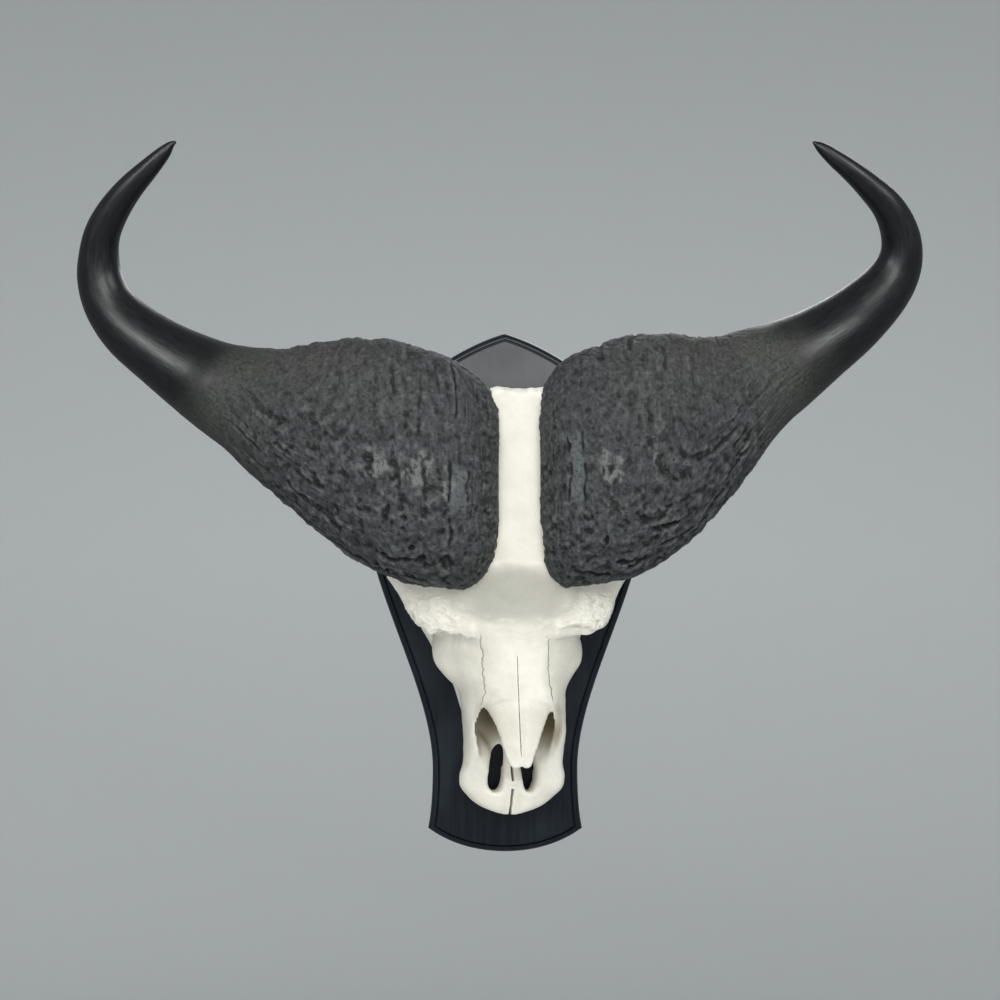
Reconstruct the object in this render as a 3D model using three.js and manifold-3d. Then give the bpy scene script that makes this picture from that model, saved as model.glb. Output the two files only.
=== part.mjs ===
// A Cape buffalo skull with both horns, hung on a black wooden wall plaque.
// Units are millimetres. +Z is up, +X is the viewer's right, and -Y points out of the wall at the viewer.
// The origin is the middle of the plaque's flat back, which lies against the wall.
import * as THREE from "three";
import { mergeVertices } from "three/addons/utils/BufferGeometryUtils.js";
import Module from "manifold-3d";

const wasm = await Module();
wasm.setup();

// Driving sizes
const PLAQUE_THICK = 22; // wooden board
const PLAQUE_TOP = 309; // pointed top of the plaque above its middle
const PLAQUE_FOOT = -310; // lowest point of its curved foot
const GAP = 0.3; // air between two pieces that touch
const HORN_GAP = 0.5; // air between the bone and the horn sheaths that sit on it
const REST = PLAQUE_THICK + GAP; // where tooth crowns and processes meet the plaque's face
const SKULL_TURN = 0.17; // the face looks to the right: this far across for each millimetre out
const TURN_DEPTH = 100; // how far out of the wall the head's middle line is measured
const SKULL_LINE = [ // that middle line, from the crest down to the jaw's tip: [up, across]
  [233, -1],
  [100, -6],
  [0, -5],
  [-55, 1],
  [-91, 4],
  [-108, 8.5],
  [-125, 11],
  [-168, 13.5],
  [-225, 14.8],
  [-262, 14.5],
];

// A point given as the viewer reads it: across to the right, out of the wall, and up.
const at = (across, out, up) => new THREE.Vector3(across, -out, up);

// Solids

// A closed shape through rings of equal point count, each end closed to its middle.
function loft(rings) {
  const count = rings[0].length;
  const points = rings.flat();
  const faces = [];
  for (let i = 0; i + 1 < rings.length; i++)
    for (let j = 0; j < count; j++) {
      const [a, b] = [i * count + j, i * count + ((j + 1) % count)];
      faces.push([a, b, b + count], [a, b + count, a + count]);
    }
  const last = (rings.length - 1) * count;
  const middle = (ring) => {
    const sum = new THREE.Vector3();
    ring.forEach((p) => sum.addScaledVector(p, 1 / count));
    return sum;
  };
  points.push(middle(rings[0]), middle(rings.at(-1)));
  for (let j = 0; j < count; j++) {
    const k = (j + 1) % count;
    faces.push([k, j, last + count], [last + j, last + k, last + count + 1]);
  }
  return shell(points, faces);
}

// Points and triangles as one geometry.
function shell(points, faces) {
  const geometry = new THREE.BufferGeometry().setFromPoints(points);
  return geometry.setIndex(faces.flat());
}

// A closed geometry as a solid whose faces look outwards. "moved" can put each point elsewhere.
function solid(geometry, moved = (p) => p) {
  const bare = geometry.clone();
  bare.deleteAttribute("normal");
  bare.deleteAttribute("uv");
  const merged = mergeVertices(bare, 1e-4);
  const position = merged.getAttribute("position");
  const points = [];
  for (let i = 0; i < position.count; i++)
    points.push(moved(new THREE.Vector3().fromBufferAttribute(position, i)));
  const index = [...merged.index.array];
  let volume = 0;
  for (let i = 0; i < index.length; i += 3) {
    const [a, b, c] = index.slice(i, i + 3).map((k) => points[k]);
    volume += a.dot(b.clone().cross(c));
  }
  return new wasm.Manifold(
    new wasm.Mesh({
      numProp: 3,
      vertProperties: Float32Array.from(points.flatMap((p) => p.toArray())),
      triVerts: Uint32Array.from(volume < 0 ? index.reverse() : index),
    }),
  );
}

const union = (parts) => parts.reduce((whole, part) => whole.add(part));

// A smooth closed curve through hand-chosen points, sampled evenly.
const smoothRing = (points, samples) =>
  new THREE.CatmullRomCurve3(points, true, "centripetal").getPoints(samples).slice(0, samples);

// Rows of numbers, blended smoothly in their order: the result gives a row for t from 0 to 1.
function blendRows(rows) {
  const columns = rows[0].map(
    (_, c) => new THREE.SplineCurve(rows.map((row, i) => new THREE.Vector2(i, row[c]))),
  );
  return (t) => columns.map((column) => column.getPoint(t).y);
}

const ACROSS = at(1, 0, 0);
const OUT = at(0, 1, 0);
const UP = at(0, 0, 1);

// An oval bar along a path. Each row is a centre (across, out, up) and its two half sizes,
// which lie along the directions "wide" and "deep". "grow" swells it all round.
function ovalBar(rows, wide, deep, steps, sides, grow = 0) {
  const row = blendRows(rows);
  const rings = [];
  for (let i = 0; i <= steps; i++) {
    const [across, out, up, a, b] = row(i / steps);
    const ring = [];
    for (let j = 0; j < sides; j++) {
      const turn = (2 * Math.PI * j) / sides;
      ring.push(
        at(across, out, up)
          .addScaledVector(wide, (a + grow) * Math.cos(turn))
          .addScaledVector(deep, (b + grow) * Math.sin(turn)),
      );
    }
    rings.push(ring);
  }
  return loft(rings);
}

// An oval ball from its centre and half sizes, given across, out and up.
function ball([across, out, up], [ra, ro, ru], sides = 8) {
  const sphere = new THREE.SphereGeometry(1, sides, 4);
  return sphere.rotateX(Math.PI / 2).scale(ra, ro, ru).translate(across, -out, up);
}

// A turned shape from [radius, distance] pairs along "direction", starting at "from".
function turned(profile, from, direction, sides) {
  const lathe = new THREE.LatheGeometry(
    profile.map(([r, h]) => new THREE.Vector2(r, h)),
    sides,
  );
  const up = new THREE.Vector3(0, 1, 0);
  lathe.applyQuaternion(new THREE.Quaternion().setFromUnitVectors(up, direction));
  return lathe.translate(from.x, from.y, from.z);
}

// Skull

// Half sections of the braincase, face and muzzle, from the crest down to the tip of the jaw.
// Each has a height and then [across, out] points from the brow side round to the palate side.
const SKULL_SECTIONS = [
  [233, [0, 196], [14, 196], [22, 195], [26, 192], [26, 186], [20, 180], [10, 178], [0, 178]],
  [226, [0, 201], [22, 201], [34, 196], [44, 184], [46, 166], [38, 148], [20, 140], [0, 140]],
  [207, [0, 204], [27, 204], [52, 197], [68, 178], [72, 135], [60, 102], [30, 90], [0, 92]],
  [180, [0, 206], [27, 206], [56, 197], [72, 176], [74, 120], [62, 86], [30, 76], [0, 78]],
  [140, [0, 208], [27, 208], [58, 197], [72, 174], [62, 118], [52, 90], [28, 76], [0, 78]],
  [95, [0, 208], [27, 208], [60, 196], [70, 174], [54, 120], [46, 94], [26, 80], [0, 80]],
  [50, [0, 206], [28, 206], [64, 192], [70, 172], [52, 122], [42, 100], [24, 86], [0, 86]],
  [20, [0, 203], [30, 201], [66, 187], [78, 166], [56, 124], [42, 100], [26, 84], [0, 82]],
  [-5, [0, 197], [32, 195], [66, 181], [80, 161], [60, 122], [48, 94], [42, 56], [0, 56]],
  [-30, [0, 187], [32, 184], [60, 171], [76, 150], [74, 112], [62, 80], [51, 46], [0, 54]],
  [-52, [0, 177], [30, 174], [44, 164], [68, 141], [84, 110], [77, 78], [51, 44], [0, 52]],
  [-75, [0, 168.5], [26, 166], [40, 156], [62, 132], [83.5, 104], [76, 76], [51, 42], [0, 51]],
  [-92, [0, 163], [26, 160], [39, 151], [57, 128], [73, 100], [68, 74], [50, 42], [0, 50]],
  [-108, [0, 158], [26, 155], [38, 146], [53, 124], [61.5, 98], [60, 72], [50, 43], [0, 50]],
  [-123, [0, 152], [25, 149], [38, 141], [50, 123], [59, 97], [58, 72], [50, 45], [0, 50]],
  [-137, [0, 146], [25, 143], [40, 135], [50, 124], [58, 98], [57.5, 72], [51, 48], [0, 48]],
  [-155, [0, 118], [25, 118], [43, 119], [53, 112], [57.5, 92], [57, 68], [51, 48], [0, 47]],
  [-178, [0, 98], [25, 98], [43, 100], [52, 95], [57, 80], [56.5, 64], [50, 46], [0, 46]],
  [-197, [0, 83], [25, 83], [43, 85], [52, 82], [57.5, 70], [57, 58], [50, 45], [0, 45]],
  [-211, [0, 73], [22, 74], [43, 76], [55, 73], [61, 63], [59, 53], [50, 43], [0, 43]],
  [-225, [0, 66], [20, 67], [40, 69], [54, 66], [60, 57], [57, 48], [46, 40], [0, 40]],
  [-238, [0, 60], [18, 61], [35, 61], [45, 58], [50, 51], [47, 43], [36, 39], [0, 38]],
  [-250, [0, 54], [14, 56], [25, 55], [32, 52], [35.5, 47], [32, 42], [22, 39], [0, 38]],
  [-257, [0, 50], [8, 51], [14, 50.5], [17, 49], [18, 46], [16, 43], [10, 41.5], [0, 41]],
  [-260, [0, 47], [3, 47.2], [6, 47], [8, 46.5], [8, 46], [7, 45], [4, 44.5], [0, 44.5]],
];
const SECTION_SAMPLES = 16; // points round one section of the solid

// The head's middle line at a height, and a point of the straight head put where it really is.
const lineCurve = new THREE.SplineCurve(SKULL_LINE.map(([up, x]) => new THREE.Vector2(-up, x)));
const linePoints = lineCurve.getPoints(80);
function lineAcross(up) {
  const k = linePoints.findIndex((p) => p.x >= -up);
  if (k <= 0) return linePoints.at(k).y;
  const [a, b] = [linePoints[k - 1], linePoints[k]];
  return THREE.MathUtils.mapLinear(-up, a.x, b.x, a.y, b.y);
}
const hung = (side) => (p) =>
  new THREE.Vector3(
    side * p.x + lineAcross(p.z) + SKULL_TURN * (-p.y - TURN_DEPTH),
    p.y,
    p.z,
  );
const inMiddle = (shape) => solid(shape, hung(1));
const bothSides = (shape) => inMiddle(shape).add(solid(shape, hung(-1)));

// The long solid of the head. "grow" swells it, to cut the horns clear of the bone.
function headLoft(grow = 0) {
  const rings = SKULL_SECTIONS.map(([up, ...half], i) => {
    const other = half.slice(1, -1).reverse();
    const outline = [...half, ...other.map(([x, out]) => [-x, out])];
    const ring = smoothRing(outline.map(([x, out]) => at(x, out, up)), SECTION_SAMPLES);
    const end = (i === 0) - (i === SKULL_SECTIONS.length - 1);
    return ring.map((p, j) => {
      const along = ring[(j + 1) % ring.length].clone().sub(ring.at(j - 1)).normalize();
      const outward = new THREE.Vector3(along.y, -along.x, end);
      return p.clone().addScaledVector(outward, grow);
    });
  });
  return loft(rings);
}

// The brow's shelf over each eye socket, running outwards. Rows: across, out, up, half height, half thickness.
const BROW = [
  [45, 168, 5, 50, 20],
  [70, 163, 5, 46, 16],
  [88, 158, 3, 43, 13],
  [104, 153, 8, 33, 10.5],
  [118, 149, 19, 20, 8],
  [129, 146, 25, 9.5, 5.5],
  [135, 145, 27, 4, 3],
];
const browShelf = (grow = 0) => ovalBar(BROW, UP, OUT, 6, 8, grow);

// Each eye socket is a ring of bone that looks sideways and a little towards the nose.
const SOCKET_CENTRE = at(98, 114, -6);
const SOCKET_LOOKS = at(0.84, -0.05, -0.54).normalize();
const SOCKET_R = 35; // middle of the bony rim
const SOCKET_RIM = 8; // half width of the rim
const SOCKET_THICK = 6.5; // half thickness of the rim
const SOCKET_SIDES = 12;

function socketRim(grow = 0) {
  const sides = 5;
  const [thick, wide] = [SOCKET_THICK + grow, SOCKET_RIM + grow];
  const profile = [];
  for (let i = 0; i <= sides; i++) {
    const turn = (2 * Math.PI * i) / sides;
    profile.push([SOCKET_R + thick * Math.cos(turn), wide * Math.sin(turn)]);
  }
  return turned(profile, SOCKET_CENTRE, SOCKET_LOOKS, SOCKET_SIDES);
}

function socketHollow() {
  const mouth = SOCKET_R - 5;
  const profile = [[0, -60], [15, -58], [24, -42], [mouth, -14], [mouth, 30], [0, 30]];
  return turned(profile, SOCKET_CENTRE, SOCKET_LOOKS, SOCKET_SIDES);
}

// Cheekbone under the socket, then the arch that runs back to the temple. Rows as for BROW, sections square to up.
const CHEEKBONE = [
  [66, 86, -78, 10, 13],
  [73, 86, -58, 11, 15],
  [84, 85, -34, 11, 14],
  [97, 85, -8, 9, 11],
  [103, 88, 24, 6, 10],
  [102, 91, 56, 5, 10],
  [93, 95, 88, 6, 11],
  [77, 100, 114, 8, 12],
  [62, 102, 132, 8, 12],
];
const cheekbone = (grow = 0) => ovalBar(CHEEKBONE, ACROSS, OUT, 7, 7, grow);

// Nasal bones: two long plates that end in free tips over the nose opening.
// Rows: up, inner edge, outer edge, out at the middle line.
const NASAL = [
  [-62, 0, 36, 173.5],
  [-98, 0, 36.5, 161.5],
  [-119, 0.2, 36, 154.5],
  [-134, 0.4, 31, 149.5],
  [-150, 0.5, 26, 144],
  [-168, 0.6, 21.5, 137.5],
  [-181, 0.8, 17.5, 132.5],
  [-189, 1.8, 14.5, 129.5],
  [-194, 4.5, 10, 127.5],
];
const NASAL_THICK = 4.5;

function nasalBone() {
  const rings = NASAL.map(([up, inner, outer, out]) => {
    const across = (share) => inner + (outer - inner) * share;
    const drop = (share) => 0.0085 * across(share) ** 2;
    const top = [0, 0.45, 0.8, 1].map((s) => at(across(s), out - drop(s), up));
    const under = [1, 0.6, 0].map((s) => at(across(s), out - drop(s) - NASAL_THICK, up));
    return [...top, ...under];
  });
  return loft(rings);
}

// The nose's hollow, open at the front between the nasal bones and the side walls.
// Rows: across, out, up, half width, half height.
const NOSE_HOLLOW = [
  [0, 96, -40, 24, 28],
  [0, 98, -80, 31, 35],
  [0, 100, -110, 39, 42],
  [0, 106, -119, 47, 56],
  [0, 106, -132, 49.5, 57],
  [0, 106, -147, 47.5, 55],
  [0, 100, -172, 43, 50],
  [0, 92, -193, 37, 38],
  [0, 86, -211, 28, 27],
  [0, 80, -224, 14, 14],
];
const noseHollow = () => ovalBar(NOSE_HOLLOW, ACROSS, OUT, 10, 10);

// Two long gaps in the palate show the plaque behind. Rows as above.
const PALATE_GAP = [
  [13, 52, -180, 2.5, 24],
  [14.5, 52, -187, 7, 24],
  [17, 52, -201, 10.5, 24],
  [18.5, 52, -216, 10, 24],
  [18.5, 52, -226, 7, 24],
  [18, 52, -231, 1.5, 24],
];
const palateGap = () => ovalBar(PALATE_GAP, ACROSS, OUT, 6, 7);

// The two halves of the front jaw stay apart along the middle line.
const JAW_SPLIT = 3.2;
const JAW_GAPS = [ // top and foot of each open stretch; between them the halves touch
  [-201, -218],
  [-227, -262],
];
function jawSplit(top, foot) {
  const box = new THREE.BoxGeometry(JAW_SPLIT, 80, top - foot);
  return box.translate(0, -52, (top + foot) / 2);
}

// Cheek teeth of one side, from the front one back: length along the jaw, width and place across.
const TEETH = [
  [14, 13, 43],
  [17, 16, 45],
  [18, 18, 47],
  [23, 21, 49],
  [27, 23, 50],
  [28, 22, 49],
];
const TEETH_START = -138;
const TOOTH_GAP = 0.8;

function cheekTeeth() {
  let up = TEETH_START;
  return TEETH.map(([length, width, across]) => {
    const middle = up + length / 2;
    up += length;
    const rows = [
      [across, 56, middle, width * 0.48, length * 0.44],
      [across, 30, middle, width * 0.52, (length - TOOTH_GAP) / 2],
      [across, REST, middle, width * 0.38, length * 0.4],
    ];
    return ovalBar(rows, ACROSS, UP, 2, 6);
  });
}

// Bony sockets of the teeth, a long ridge along each side of the palate.
const TOOTH_RIDGE = [
  [43, 46, -150, 6, 6],
  [45, 44, -132, 11, 10],
  [49, 43, -80, 14, 12],
  [49, 44, -25, 14, 13],
  [46, 50, 6, 9, 14],
  [42, 62, 18, 4, 8],
];

// Back of the head: joint knobs, side processes, the plates behind the palate and the ear swellings.
const SIDE_PROCESS = [
  [54, 100, 196, 12, 9],
  [52, 78, 190, 10, 7],
  [49, 50, 182, 7, 5],
  [46, REST, 176, 3.5, 3],
];
const PALATE_PLATE = [
  [27, 60, -8, 3, 12],
  [25, 66, 15, 3, 13],
  [22, 74, 40, 3.5, 13],
  [20, 82, 66, 4, 9],
];

const BACK_PARTS = [
  ball([24, 80, 203], [14, 19, 17]),
  ball([31, 78, 142], [12, 15, 20]),
  ovalBar(SIDE_PROCESS, ACROSS, UP, 3, 6),
  ovalBar(PALATE_PLATE, ACROSS, OUT, 3, 6),
];
const THROAT = ball([0, 64, 38], [15, 17, 36]); // the way from the nose to the throat
const SPINE_HOLE = ball([0, 92, 226], [17, 15, 26]); // where the spine met the skull

// The bone that the horns reach, swollen by "grow": the head, brows, cheekbones, socket rims, temples.
const temple = (grow = 0) => ball([66, 104, 128], [16 + grow, 20 + grow, 28 + grow]);
const nearHorns = (grow) =>
  union([
    inMiddle(headLoft(grow)),
    ...[browShelf, cheekbone, socketRim, temple].map((shape) => bothSides(shape(grow))),
  ]);

function makeSkull() {
  let head = inMiddle(headLoft()).add(union([browShelf(), cheekbone()].map(bothSides)));
  head = head.subtract(bothSides(socketHollow()));
  head = head.add(bothSides(ovalBar(TOOTH_RIDGE, ACROSS, OUT, 5, 6)));
  head = head.subtract(inMiddle(noseHollow())).subtract(bothSides(palateGap()));
  for (const [top, foot] of JAW_GAPS) head = head.subtract(inMiddle(jawSplit(top, foot)));
  head = head.subtract(inMiddle(THROAT)).add(union(BACK_PARTS.map(bothSides)));
  head = head.subtract(inMiddle(SPINE_HOLE));
  const added = [temple(), socketRim(), nasalBone(), ...cheekTeeth()];
  return union([head, ...added.map(bothSides)]);
}

// Horns

// Sections from the blunt inner end of the boss to the tip.
// Rows: across, out, up, half height, half depth, and how far the section leans inwards, in degrees.
const HORN_LEFT = [
  [-7.5, 197, 128, 52, 22, 0],
  [-9.5, 197, 132, 76, 30, 0],
  [-15, 197, 133, 91, 43, 0],
  [-26, 194, 132, 107, 57, 0],
  [-44, 192, 134, 120.5, 68, 0],
  [-72, 190, 142.5, 128, 75, 0],
  [-105, 188, 149.5, 131, 78, 0],
  [-138, 184, 159, 127.5, 77, 0],
  [-172, 177, 168, 120, 74, 0],
  [-206, 168, 179, 104.5, 69, 0],
  [-238, 158, 194, 86.5, 63, 6],
  [-264, 149, 207.5, 72.5, 57, 14],
  [-291, 139, 223.5, 61.5, 51, 23],
  [-317, 131, 236, 54.5, 46, 31],
  [-345, 121, 250, 48, 42, 36],
  [-389, 112, 276, 39.5, 36, 37],
  [-429, 106, 305, 34.3, 32, 43],
  [-453, 106, 334, 29.2, 28, 61],
  [-463, 110, 364, 25.7, 25, 81],
  [-462, 118, 392, 22.2, 22, 99],
  [-455, 128, 415, 19.8, 19.5, 115],
  [-440, 139, 438, 17.5, 17, 128],
  [-420, 150, 460, 14.6, 14.5, 136],
  [-396, 161, 481, 11.1, 11, 138],
  [-379, 168, 496, 7.6, 7.6, 138],
  [-370, 172, 504.5, 3.6, 3.6, 138],
  [-365, 173, 507, 1.2, 1.2, 138],
];
const HORN_RIGHT = [
  [38, 197, 150, 42, 20, 0],
  [40.5, 197, 142, 78, 28, 0],
  [44, 197, 138, 97, 38, 0],
  [51, 195, 136, 112, 52, 0],
  [66, 192, 139.5, 124, 66, 0],
  [86, 190, 145, 128.5, 74, 0],
  [111, 188, 151, 131, 77, 0],
  [137, 185, 157.5, 132, 77, 0],
  [171, 178, 167.5, 125, 74, 0],
  [205, 167, 179, 112, 68, 0],
  [237, 155, 200, 91.5, 60, 6],
  [264, 145, 224, 73, 54, 14],
  [291, 135, 247, 59.5, 49, 22],
  [321, 124, 265, 51.5, 44, 29],
  [358, 113, 288, 43.5, 39, 34],
  [397, 106, 315, 37.5, 34, 39],
  [429, 106, 345, 32, 30.5, 49],
  [446, 110, 370, 27.5, 27, 67],
  [451, 118, 394, 23.4, 23.4, 91],
  [445, 128, 418, 20.8, 20.5, 114],
  [430, 140, 441, 17.8, 17.5, 131],
  [408, 151, 460, 14.6, 14.5, 141],
  [386, 161, 476, 11.8, 11.8, 145],
  [365, 168, 490, 9.2, 9, 146],
  [350, 172, 500.5, 6, 6, 146],
  [343, 173.5, 505, 2.6, 2.6, 146],
  [340.5, 174, 506.5, 1.2, 1.2, 146],
];
const HORN_STEPS = 33;
const HORN_SIDES = 18;
const BOSS_CORNER = 0.88; // below 1 makes a section squarer than an oval

// Coarse lumps and growth ridges of the boss, in millimetres of height, fading out towards the smooth horn.
function bossRelief(along, turn, side) {
  const rough = 1 - THREE.MathUtils.smoothstep(along, 0.36, 0.52);
  const start = THREE.MathUtils.smoothstep(along, 0, 0.06);
  const ridges = 1.5 * Math.sin(95 * along + 0.8 * Math.sin(turn * 3 + side));
  const lumps =
    2.2 * Math.sin(31 * along + 3 * turn + side) * Math.sin(17 * along - 5 * turn) +
    1.6 * Math.sin(7 * turn + 23 * along + 2 * side);
  return rough * start * (ridges + lumps);
}

function makeHorn(rows, side) {
  const row = blendRows(rows);
  const rings = [];
  const centre = (t) => at(...row(t).slice(0, 3));
  const step = 0.5 / HORN_STEPS;
  for (let i = 0; i <= HORN_STEPS; i++) {
    const t = i / HORN_STEPS;
    const [, , , high, deep, lean] = row(t);
    const angle = THREE.MathUtils.degToRad(lean);
    const along = centre(Math.min(1, t + step)).sub(centre(Math.max(0, t - step))).normalize();
    const highWay = at(side * Math.sin(angle), 0, Math.cos(angle));
    // the boss is cut in upright slices, the horn beyond it square to its own line
    const square = THREE.MathUtils.smoothstep(lean, 0, 30);
    const deepWay = OUT.clone().addScaledVector(along, -square * OUT.dot(along)).normalize();
    const corner = THREE.MathUtils.lerp(BOSS_CORNER, 1, square);
    const bulge = (v) => Math.sign(v) * Math.abs(v) ** corner;
    const ring = [];
    for (let j = 0; j < HORN_SIDES; j++) {
      const turn = (2 * Math.PI * j) / HORN_SIDES;
      const [c, s] = [Math.cos(turn), Math.sin(turn)];
      const lift = bossRelief(t, turn, side);
      ring.push(
        centre(t)
          .addScaledVector(highWay, bulge(c) * high + c * lift)
          .addScaledVector(deepWay, bulge(s) * deep + s * lift),
      );
    }
    rings.push(ring);
  }
  return solid(loft(rings));
}

// Plaque

// Half outline: pointed top, wide shoulders, narrow waist, flared foot with a bowed base.
function plaqueOutline() {
  const half = new THREE.CurvePath();
  const curve = (...xy) => {
    const p = xy.map(([x, z]) => new THREE.Vector2(x, z));
    half.add(new THREE.CubicBezierCurve(...p));
  };
  curve([0, PLAQUE_TOP], [62, 291], [170, 225], [170, 118]);
  curve([170, 118], [170, 10], [86, -112], [86.5, -212]);
  curve([86.5, -212], [86.5, -240], [88.5, -266], [92, -282]);
  curve([92, -282], [66, -301], [34, PLAQUE_FOOT], [0, PLAQUE_FOOT]);
  const right = half.curves.flatMap((c, i) => c.getPoints([7, 8, 2, 4][i]).slice(0, -1));
  const left = [...right.slice(1)].reverse().map((p) => new THREE.Vector2(-p.x, p.y));
  return [...right, new THREE.Vector2(0, PLAQUE_FOOT), ...left];
}

// The outline moved inwards by "inset", each corner along its own bisector.
function insetOutline(outline, inset) {
  const count = outline.length;
  return outline.map((p, i) => {
    const before = p.clone().sub(outline[(i + count - 1) % count]).normalize();
    const after = outline[(i + 1) % count].clone().sub(p).normalize();
    const inward = new THREE.Vector2(-(before.y + after.y), before.x + after.x).normalize();
    const stretch = Math.max(0.5, inward.dot(new THREE.Vector2(-after.y, after.x)));
    return p.clone().addScaledVector(inward, -inset / stretch);
  });
}

// The routed edge from back to front: [inset, out of the wall].
const ROUTED_EDGE = [
  [0, 0],
  [0, 11],
  [1.2, 14.5],
  [4.2, 17.2],
  [8.2, 18.4],
  [8.6, PLAQUE_THICK - 0.8],
  [9.6, PLAQUE_THICK],
];

function plaqueBoard() {
  const outline = plaqueOutline();
  const rings = ROUTED_EDGE.map(([inset, out]) =>
    insetOutline(outline, inset).map((p) => at(p.x, out, p.y)),
  );
  const count = outline.length;
  const faces = [];
  for (let i = 0; i + 1 < rings.length; i++)
    for (let j = 0; j < count; j++) {
      const [a, b] = [i * count + j, i * count + ((j + 1) % count)];
      faces.push([a, b, b + count], [a, b + count, a + count]);
    }
  const top = (rings.length - 1) * count;
  for (const [a, b, c] of THREE.ShapeUtils.triangulateShape(insetOutline(outline, 0), []))
    faces.push([a, b, c]);
  const front = insetOutline(outline, ROUTED_EDGE.at(-1)[0]);
  for (const [a, b, c] of THREE.ShapeUtils.triangulateShape(front, []))
    faces.push([top + a, top + c, top + b]);
  return solid(shell(rings.flat(), faces));
}

// A box from its centre and size, given across, out and up.
function block([x, out, up], [wide, deep, tall], round = 0) {
  const shape = new THREE.Shape();
  const [w, t, r] = [wide / 2, tall / 2, round];
  shape.moveTo(-w + r, -t).lineTo(w - r, -t).lineTo(w, -t + r).lineTo(w, t - r);
  shape.lineTo(w - r, t).lineTo(-w + r, t).lineTo(-w, t - r).lineTo(-w, -t + r);
  const bar = new THREE.ExtrudeGeometry(shape, { depth: deep, bevelEnabled: false });
  return solid(bar.rotateX(Math.PI / 2).translate(x, -out + deep / 2, up));
}

// A round bar pointing out of the wall.
const rod = (x, up, from, to, r, sides = 12) =>
  solid(turned([[0, 0], [r, 0], [r, to - from], [0, to - from]], at(x, from, up), OUT, sides));

// Two long screws hold the skull. They go from the plaque's back into the bone of the braincase.
const SKULL_SCREWS = [
  [-9, 92],
  [-9, 142],
];
const SKULL_SCREW = { head: 6, shank: 3, under: 4.2, tip: 96, point: 5, sides: 12 };
const HEAD_SINK = 0.5; // screw heads lie this far inside the plaque's back

// A countersunk screw pointing out of the wall: radius of the head and shank, how far out the cone
// under the head ends and the tip reaches, and the length of the point. "grow" swells it all round.
function screw({ head, shank, under, tip, point, sides }, across, up, grow = 0) {
  const profile = [
    [0, HEAD_SINK - grow],
    [head + grow, HEAD_SINK - grow],
    [shank + grow, under + grow],
    [shank + grow, tip - point],
    [0, tip + grow],
  ];
  return solid(turned(profile, at(across, 0, up), OUT, sides));
}
const skullScrew = ([across, up], grow) => screw(SKULL_SCREW, across, up, grow);

// Keyhole hanger sunk into the back near the top: a plate with a round hole and a slot above it.
const HANGER = { up: 238, wide: 24, tall: 62, thick: 2.4, corner: 6, back: 0.3 };
const KEYHOLE = { hole: 6.5, holeDrop: 5, slot: 3.2, slotTall: 18, slotRise: 5 };
// room behind the keyhole for the head of a wall nail
const NAIL_ROOM = { rise: 1, wide: 15, deep: 12.25, tall: 30, corner: 4 };
const HANGER_SCREWS = [-23, 23]; // above the hanger's middle
const HANGER_SCREW = { head: 3.6, shank: 1.6, under: 2.6, tip: 13, point: 2, sides: 10 };
const hangerScrew = (up, grow) => screw(HANGER_SCREW, 0, HANGER.up + up, grow);

function keyhole(through) {
  const { hole, holeDrop, slot, slotTall, slotRise } = KEYHOLE;
  const round = rod(0, HANGER.up - holeDrop, -1, through, hole, 16);
  const place = [0, through / 2, HANGER.up + slotRise];
  return round.add(block(place, [slot * 2, through + 2, slotTall]));
}

function makeHanger() {
  const { up, wide, tall, thick, corner, back } = HANGER;
  let plate = block([0, back + thick / 2, up], [wide, thick, tall], corner);
  plate = plate.subtract(keyhole(3 * thick));
  for (const s of HANGER_SCREWS) plate = plate.subtract(hangerScrew(s, GAP));
  return plate;
}

function makePlaque() {
  const { up, wide, tall, thick, corner, back } = HANGER;
  let board = plaqueBoard();
  const pocket = [wide + 2 * GAP, 2 * (thick + back + GAP), tall + 2 * GAP];
  board = board.subtract(block([0, 0, up], pocket, corner));
  const room = [NAIL_ROOM.wide, NAIL_ROOM.deep, NAIL_ROOM.tall];
  const roomPlace = [0, NAIL_ROOM.deep / 2, up + NAIL_ROOM.rise];
  board = board.subtract(block(roomPlace, room, NAIL_ROOM.corner));
  for (const s of HANGER_SCREWS) board = board.subtract(hangerScrew(s, GAP));
  for (const s of SKULL_SCREWS) board = board.subtract(skullScrew(s, GAP));
  return board;
}

// Assembly

const WOOD = { color: 0x24282d, roughness: 0.42, metalness: 0 };
const BONE = { color: 0xe9e5d6, roughness: 0.62, metalness: 0 };
const HORN = { color: 0x2b2d2e, roughness: 0.5, metalness: 0 };
const STEEL = { color: 0xa9abad, roughness: 0.35, metalness: 1 };

function piece(name, made, finish) {
  const { numProp, vertProperties, triVerts } = made.getMesh();
  if (numProp !== 3) throw new Error(`${name} has more than positions`);
  const geometry = new THREE.BufferGeometry();
  geometry.setAttribute("position", new THREE.BufferAttribute(vertProperties, 3));
  geometry.setIndex(new THREE.BufferAttribute(triVerts, 1));
  geometry.computeVertexNormals();
  const mesh = new THREE.Mesh(geometry, new THREE.MeshStandardMaterial(finish));
  mesh.name = name;
  return mesh;
}

let skull = makeSkull();
for (const s of SKULL_SCREWS) skull = skull.subtract(skullScrew(s, GAP));
const clearance = nearHorns(HORN_GAP);
const hornLeft = makeHorn(HORN_LEFT, 1).subtract(clearance);
const hornRight = makeHorn(HORN_RIGHT, -1).subtract(clearance);

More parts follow.
